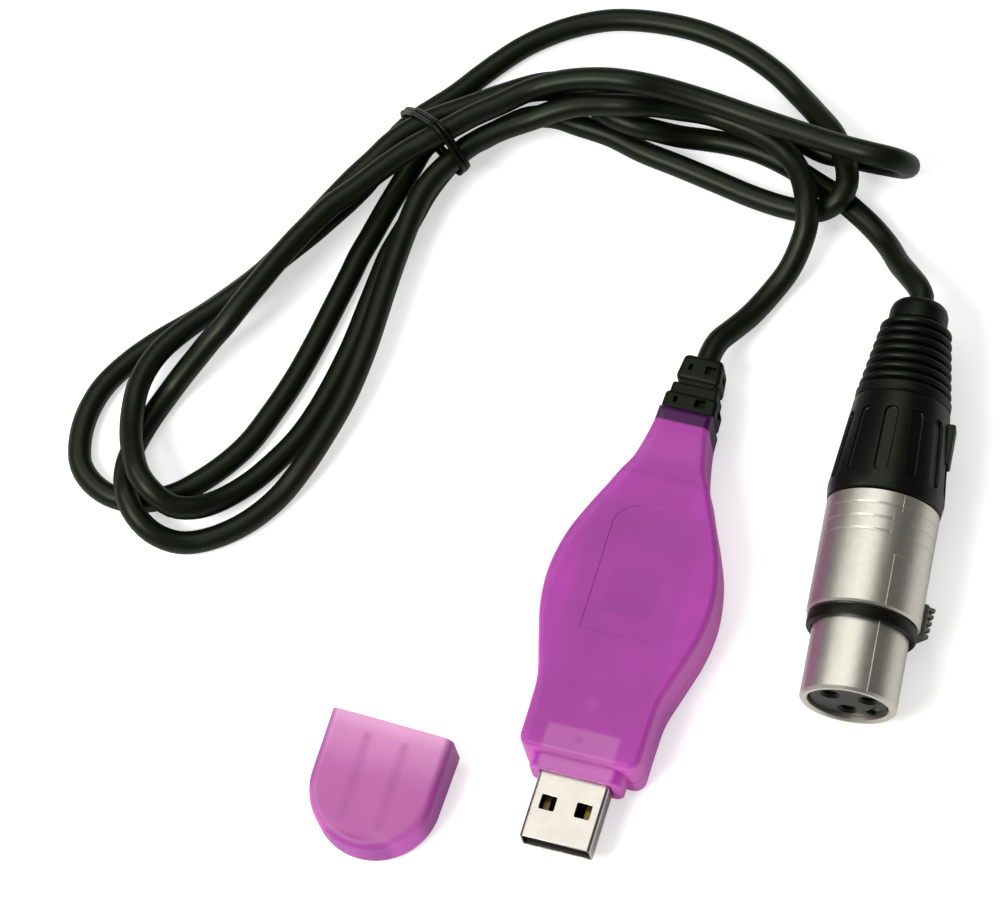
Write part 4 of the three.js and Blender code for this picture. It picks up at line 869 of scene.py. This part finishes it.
# Low and high radius, start, end and width of the latch's ways through the shell
TIP_SLOT = (5.3, 12, 3.8, 7.1, 3.2)
TAB_SLOT = (5.3, 12, 14.7, 21.6, 5.6)
SEAM_TURN = Matrix.Rotation(radians(-64), 4, "Y")
SEAM_HALF_WIDTH = 0.07
NOSE_SEAM_RADIUS = 7.92
BARREL_SEAM_RADIUS = 9.32
SEAM_REACH = 12
SEAM_START = -1
SEAM_MIDDLE = 14
SEAM_END = 36
SHELL_EDGE = 0.08
PANEL_PROFILE = [(9.1, 23.6), (9.45, 23.9), (9.45, 31.3), (9.1, 31.5)]
PANEL_STEPS = 8
PANEL_SWEEP = radians(18)
PANEL_TURN = Matrix.Rotation(radians(-71), 4, "Y")
SEAL_PROFILE = [(8.2, 12.4), (8.9, 12.4), (9.1, 12.7), (9.1, 14.1), (8.9, 14.4), (8.2, 14.4)]


def latch_block(low_radius, high_radius, start, end, width, bevel=0):
    """A block at the latch's side of the connector, before it is turned to its place."""
    return block((low_radius, start, -width / 2), (high_radius, end, width / 2), bevel)


def make_connector_shell():
    lines = []
    for place in LINE_PLACES:
        lines += [(BARREL_RADIUS, place), (LINE_RADIUS, place - LINE_SLOPE)]
        lines += [(LINE_RADIUS, place - LINE_FLOOR_END), (BARREL_RADIUS, place - LINE_WIDTH)]
    profile = NOSE_PROFILE + list(reversed(lines)) + BARREL_END_PROFILE
    shell = turned(profile, steps=CONNECTOR_STEPS)
    nose_seam = block((NOSE_SEAM_RADIUS, SEAM_START, -SEAM_HALF_WIDTH),
                      (SEAM_REACH, SEAM_MIDDLE, SEAM_HALF_WIDTH))
    barrel_seam = block((BARREL_SEAM_RADIUS, SEAM_MIDDLE, -SEAM_HALF_WIDTH),
                        (SEAM_REACH, SEAM_END, SEAM_HALF_WIDTH))
    cutters = [
        moved(latch_block(*TIP_SLOT), LATCH_TURN),
        moved(latch_block(*TAB_SLOT), LATCH_TURN),
        moved(nose_seam, SEAM_TURN),
        moved(barrel_seam, SEAM_TURN),
    ]
    shell = moved(carve(shell, cutters), CONNECTOR_PLACE)
    piece_from("connector_case", shell, NICKEL, "interface", ["connector_shell"], SHELL_EDGE)


def make_panel():
    """A plain raised panel over the second and third lines."""
    panel = turned(PANEL_PROFILE, steps=PANEL_STEPS, angle=PANEL_SWEEP)
    moved(panel, CONNECTOR_PLACE @ PANEL_TURN)
    piece_from("connector_panel", panel, NICKEL, "interface")


def make_seal_ring():
    ring = moved(turned(SEAL_PROFILE), CONNECTOR_PLACE)
    piece_from("seal_ring", ring, RUBBER, "interface", ["connector_seal_ring"])


# Insert and latch

INSERT_PROFILE = [(0, 0.8), (6.2, 0.8), (6.4, 1), (6.4, 14.4), (0, 14.4)]
INSERT_KEYWAY = (4.1, 7.5, -1, 17, 3.2)
INSERT_EDGE = 0.06
SOCKET_COUNT = 3
SOCKET_CIRCLE = 3.6
SOCKET_PROFILE = [(0, -1), (1.75, -1), (1.75, 0.8), (1.25, 1.3), (1.25, 13), (0, 13)]
SOCKET_STEPS = 32
# Low and high radius, start, end, width and rounding of the latch's parts
LATCH_BAR = (5.3, 6.35, 1.4, 26, 2.6, 0.15)
LATCH_HOOK = (5.6, 8.5, 4.4, 6.8, 2.5, 0.2)
LATCH_TAB = (5.4, 10.5, 15, 21, 5, 0.4)
LATCH_BED = (4.12, 4.2, 0.84, 14, 3)
RIDGE_COUNT = 5
RIDGE_START = 15.1
RIDGE_PITCH = 1.2
RIDGE_LENGTH = 0.85
RIDGE_LOW = 10
RIDGE_HIGH = 11.3
RIDGE_RISE = 0.12
RIDGE_WIDTH = 4.8
RIDGE_EDGE = 0.3


def make_insert():
    insert = turned(INSERT_PROFILE, closed=False)
    cutters = [moved(latch_block(*INSERT_KEYWAY), LATCH_TURN)]
    for k in range(SOCKET_COUNT):
        turn = -LATCH_ANGLE + (k + 0.5) / SOCKET_COUNT * tau
        place = Matrix.Translation((SOCKET_CIRCLE * cos(turn), 0, SOCKET_CIRCLE * sin(turn)))
        hole = turned(SOCKET_PROFILE, steps=SOCKET_STEPS, closed=False)
        cutters.append(moved(hole, place))
    insert = moved(carve(insert, cutters), CONNECTOR_PLACE)
    piece_from("socket_insert", insert, BLACK, "interface", ["connector_insert"],
               INSERT_EDGE)


def make_latch():
    """The push latch, and the pale strip that shows under its bar in the face."""
    parts = [latch_block(*LATCH_HOOK), latch_block(*LATCH_TAB)]
    for k in range(RIDGE_COUNT):
        start = RIDGE_START + k * RIDGE_PITCH
        parts.append(latch_block(RIDGE_LOW, RIDGE_HIGH + RIDGE_RISE * k, start, start + RIDGE_LENGTH,
                                 RIDGE_WIDTH, RIDGE_EDGE))
    latch = moved(carve(latch_block(*LATCH_BAR), parts, "UNION"), LATCH_PLACE)
    piece_from("push_latch", latch, CAST, "latch", ["connector_latch"])
    bed = moved(latch_block(*LATCH_BED), LATCH_PLACE)
    piece_from("latch_bed", bed, CAST, "interface")


# Bushing and boot

BUSHING_WIDE = (9.75, 37.2)
BUSHING_PROFILE = [(7.5, 34.8), (9.3, 34.8), (9.5, 35), BUSHING_WIDE, (8.15, 52.7), (8, 53.1), (6, 53.1),
                   (6, 42), (7.5, 37)]
BUSHING_END_RADIUS = 8.05
BUSHING_END = 53.1
BUSHING_EDGE = 0.1
FLUTE_COUNT = 12
FLUTE_TURN = radians(-3.5)
FLUTE_HALF_LENGTH = 6.25
FLUTE_SECTION = (1.2, FLUTE_HALF_LENGTH, 1.19, 8)
FLUTE_DEPTH = 0.5
FLUTE_FLOOR_ROUND = 0.35
FLUTE_PLACE = (0, 37.6, 9.72)
# Low corner, high corner and rounding
KEY_BOX = ((7.6, 43.6, -1.6), (9.5, 51, 1.6), 0.3)
BOOT_FRONT = [(2.15, 42.3), (5.7, 42.3), (5.7, 53.3), (7.8, 53.3), (8.05, 53.6), (8.05, 54.8), (7.8, 55.1)]
BOOT_TAIL = [(4.6, 68), (5, 68.3), (4.95, 70.5), (4.6, 71.5), (4.1, 72), (2.4, 72), (2.15, 71.6)]
BOOT_RIBS = 7
BOOT_RADIUS = 8.05
BOOT_LAST_RADIUS = 6.1
BOOT_RIBS_START = 55.1
BOOT_RIB_PITCH = 1.8
BOOT_RIB_SHIFT = 0.3
BOOT_RIB_ROUND = 0.55
BOOT_RIB_HALF_LENGTH = 0.6
BOOT_RIB_STEPS = 6
BOOT_GROOVE_DEPTH = 1.15
BOOT_GROOVE_REACH = 0.95


def make_bushing():
    """The clamp bushing: a taper with long flutes and one key."""
    bushing = turned(BUSHING_PROFILE, steps=CONNECTOR_STEPS)
    wide_radius, wide_at = BUSHING_WIDE
    slope = atan2(wide_radius - BUSHING_END_RADIUS, BUSHING_END - wide_at)
    cutters = []
    for k in range(FLUTE_COUNT):
        outline = rounded_rectangle(*FLUTE_SECTION, middle=(0, FLUTE_HALF_LENGTH))
        flute = prism(outline, -FLUTE_DEPTH, OVERRUN, FLUTE_FLOOR_ROUND, 0)
        turn = FLUTE_TURN + k / FLUTE_COUNT * tau
        place = Matrix.Rotation(turn, 4, "Y") @ Matrix.Translation(FLUTE_PLACE)
        cutters.append(moved(flute, place @ Matrix.Rotation(-slope, 4, "X")))
    bushing = carve(bushing, cutters)
    bushing = moved(carve(bushing, [block(*KEY_BOX)], "UNION"), CONNECTOR_PLACE)
    piece_from("clamp_bushing", bushing, BLACK, "bushing", ["connector_bushing"],
               BUSHING_EDGE)


def make_boot():
    """The ribbed boot: round ribs that shrink towards a plain tail."""
    profile = list(BOOT_FRONT)
    for k in range(BOOT_RIBS):
        radius = BOOT_RADIUS + (BOOT_LAST_RADIUS - BOOT_RADIUS) * (k + 1) / BOOT_RIBS
        middle = BOOT_RIBS_START + (k + 0.5) * BOOT_RIB_PITCH + BOOT_RIB_SHIFT
        profile.append((radius - BOOT_GROOVE_DEPTH, middle - BOOT_GROOVE_REACH))
        for step in range(BOOT_RIB_STEPS + 1):
            turn = -pi / 2 + step / BOOT_RIB_STEPS * pi
            across = radius - BOOT_RIB_ROUND + BOOT_RIB_ROUND * cos(turn)
            profile.append((across, middle + BOOT_RIB_HALF_LENGTH * sin(turn)))
    profile += BOOT_TAIL
    boot = moved(turned(profile), CONNECTOR_PLACE)
    piece_from("ribbed_boot", boot, RUBBER, "bushing", ["connector_boot"])


# Cable and tie

CURVE_ROUND_STEPS = 6
TIE_MIDDLE = Vector((-55.6, 71.6))
TIE_DIRECTION = Vector((-0.567, -0.82)).normalized()
# The bundle's outer strands where the tie runs: across and up
TIED_STRANDS = [(-9.1, 3.3), (1.45, 3.3), (3.5, 7.85), (-0.1, 11.7), (-5.45, 7.8)]
TIE_WIRE = 0.9
TIE_GAP = 0.04
TIE_FLOOR_GAP = 0.02
TIE_SPREAD = 1.8
TIE_TURNS = 2
TIE_CORNER_STEPS = 6
TIE_STEP = 0.0008


def curve_piece(name, points, diameter, material):
    """A round piece along a line of points in metres, with closed ends."""
    data = bpy.data.curves.new(name, "CURVE")
    data.dimensions = "3D"
    data.bevel_depth = diameter / 2
    data.bevel_resolution = CURVE_ROUND_STEPS
    data.use_fill_caps = True
    spline = data.splines.new("POLY")
    spline.points.add(len(points) - 1)
    for knot, point in zip(spline.points, points):
        knot.co = (*point, 1)
    spline.use_smooth = True
    data.materials.append(material)
    piece = bpy.data.objects.new(name, data)
    scene.collection.objects.link(piece)
    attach(piece, "interface")
    return piece


def make_cable():
    route = smooth_route(CABLE_ROUTE, CABLE_STEP)
    cable = curve_piece("cable", route, CABLE_DIAMETER, JACKET)
    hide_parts("cable_to_interface", "cable_hank", "cable_to_connector")
    return cable


def tie_ring():
    """Where the wire runs round the bundle's outer strands: across and up."""
    reach = CABLE_DIAMETER / MM / 2 + TIE_GAP + TIE_WIRE / 2
    least_height = TIE_WIRE / 2 + TIE_FLOOR_GAP
    ring = []
    count = len(TIED_STRANDS)
    for k, (across, up) in enumerate(TIED_STRANDS):
        before = TIED_STRANDS[k - 1]
        after = TIED_STRANDS[(k + 1) % count]
        turn_in = atan2(up - before[1], across - before[0]) - pi / 2
        turn_out = atan2(after[1] - up, after[0] - across) - pi / 2
        if turn_out < turn_in:
            turn_out += tau
        for step in range(TIE_CORNER_STEPS + 1):
            turn = turn_in + (turn_out - turn_in) * step / TIE_CORNER_STEPS
            ring.append((across + reach * cos(turn), max(up + reach * sin(turn), least_height)))
    return ring


def make_tie():
    """A wire wound round the bundle, its ends underneath."""
    ring = tie_ring()
    lowest = ring.index(min(ring, key=lambda point: point[1]))
    ring = ring[lowest:] + ring[:lowest]
    across_way = Vector((-TIE_DIRECTION.y, TIE_DIRECTION.x))
    total = len(ring) * TIE_TURNS
    points = []
    for k in range(total + 1):
        across, up = ring[k % len(ring)]
        along = (k / total - 0.5) * TIE_SPREAD
        place = TIE_MIDDLE + across_way * across + TIE_DIRECTION * along
        points.append((place.x * MM, place.y * MM, up * MM))
    tie = curve_piece("wire_tie", smooth_route(points, TIE_STEP), TIE_WIRE * MM, RUBBER)
    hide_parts("cable_tie")
    return tie


# Floor and light, in metres

FLOOR_HALF_WIDTH = 3
FLOOR_DROP = 0.0001
FLOOR_TONE = (0.75, 0.75, 0.75, 1)
FLOOR_ROUGHNESS = 0.9
FLOOR_LIFT = 0.55
WHITE = (1, 1, 1, 1)
WORLD_LIGHT = 0.3
WORLD_MIRRORED = 0.09
LAMP_AIM = Vector((-0.03, 0.02, 0))
# Place, diameter and power
LAMPS = {
    "key_light": ((-0.3, -0.45, 0.75), 0.35, 5.4),
    "high_panel": ((-0.16, 0.38, 0.9), 0.8, 2.4),
    "side_light": ((-0.58, -0.02, 0.62), 0.4, 1.5),
}


def make_floor():
    """A pale floor that takes shadows and looks white to the camera."""
    bm = bmesh.new()
    bmesh.ops.create_grid(bm, x_segments=1, y_segments=1, size=FLOOR_HALF_WIDTH)
    bmesh.ops.translate(bm, vec=(0, 0, -FLOOR_DROP), verts=bm.verts)
    mesh = bpy.data.meshes.new("floor")
    bm.to_mesh(mesh)
    bm.free()
    floor = bpy.data.objects.new("floor", mesh)
    scene.collection.objects.link(floor)
    material = bpy.data.materials.new("floor_white")
    material.use_nodes = True
    nodes, links = material.node_tree.nodes, material.node_tree.links
    shader = nodes["Principled BSDF"]
    fill(shader, Base_Color=FLOOR_TONE, Roughness=FLOOR_ROUGHNESS, Emission_Color=WHITE)
    path = nodes.new("ShaderNodeLightPath")
    lift = nodes.new("ShaderNodeMath")
    lift.operation = "MULTIPLY"
    lift.inputs[1].default_value = FLOOR_LIFT
    links.new(path.outputs["Is Camera Ray"], lift.inputs[0])
    links.new(lift.outputs["Value"], shader.inputs["Emission Strength"])
    mesh.materials.append(material)


def make_world():
    """White where the camera or clear plastic sees it, and dimmer as a light and in reflections."""
    world = bpy.data.worlds.new("studio")
    scene.world = world
    world.use_nodes = True
    nodes, links = world.node_tree.nodes, world.node_tree.links
    back = nodes["Background"]
    fill(back, Color=WHITE)
    path = nodes.new("ShaderNodeLightPath")
    seen = nodes.new("ShaderNodeMath")
    seen.operation = "MAXIMUM"
    links.new(path.outputs["Is Camera Ray"], seen.inputs[0])
    links.new(path.outputs["Is Transmission Ray"], seen.inputs[1])
    unseen = nodes.new("ShaderNodeMapRange")
    fill(unseen, To_Min=WORLD_LIGHT, To_Max=WORLD_MIRRORED)
    links.new(path.outputs["Is Glossy Ray"], unseen.inputs["Value"])
    level = nodes.new("ShaderNodeMapRange")
    fill(level, To_Max=1)
    links.new(unseen.outputs["Result"], level.inputs["To Min"])
    links.new(seen.outputs["Value"], level.inputs["Value"])
    links.new(level.outputs["Result"], back.inputs["Strength"])


def make_lamp(name, place, size, power):
    data = bpy.data.lights.new(name, "AREA")
    data.shape = "DISK"
    data.size = size
    data.energy = power
    lamp = bpy.data.objects.new(name, data)
    turn = (LAMP_AIM - Vector(place)).to_track_quat("-Z", "Y")
    lamp.matrix_world = Matrix.Translation(place) @ turn.to_matrix().to_4x4()
    scene.collection.objects.link(lamp)


def paint_frame():
    """Finishes for the inner solids that the scene takes as they are."""
    paint_node(DULL, "usb_plug_tongue")
    paint_node(BLACK, "microcontroller", "line_driver_chip", "wire_header", "cable_clamp",
               "connector_chuck")
    paint_node(BRASS, "usb_contact_1", "usb_contact_2", "usb_contact_3", "usb_contact_4")
    paint_node(GOLD, "connector_contact_1", "connector_contact_2", "connector_contact_3")
    paint_node(STEEL, "crystal_can", "latch_spring")
    paint_node(BOARD, "circuit_board")
    paint_node(PALE, "board_capacitor_1", "board_capacitor_2", "status_light")
    paint_node(JACKET, "cable_end_in_interface", "cable_end_in_connector")
    for number, material in enumerate((RED_WIRE, BLACK_WIRE, WHITE_WIRE), start=1):
        paint_node(material, f"interface_wire_{number}", f"connector_wire_{number}")


cable = make_cable()
tie = make_tie()
make_dongle()
make_plug()
make_cap()
make_strain_relief()
make_connector_shell()
make_panel()
make_seal_ring()
make_insert()
make_latch()
make_bushing()
make_boot()
paint_frame()

make_floor()
make_world()
for name, (place, size, power) in LAMPS.items():
    make_lamp(name, place, size, power)
scene.view_settings.view_transform = "Standard"
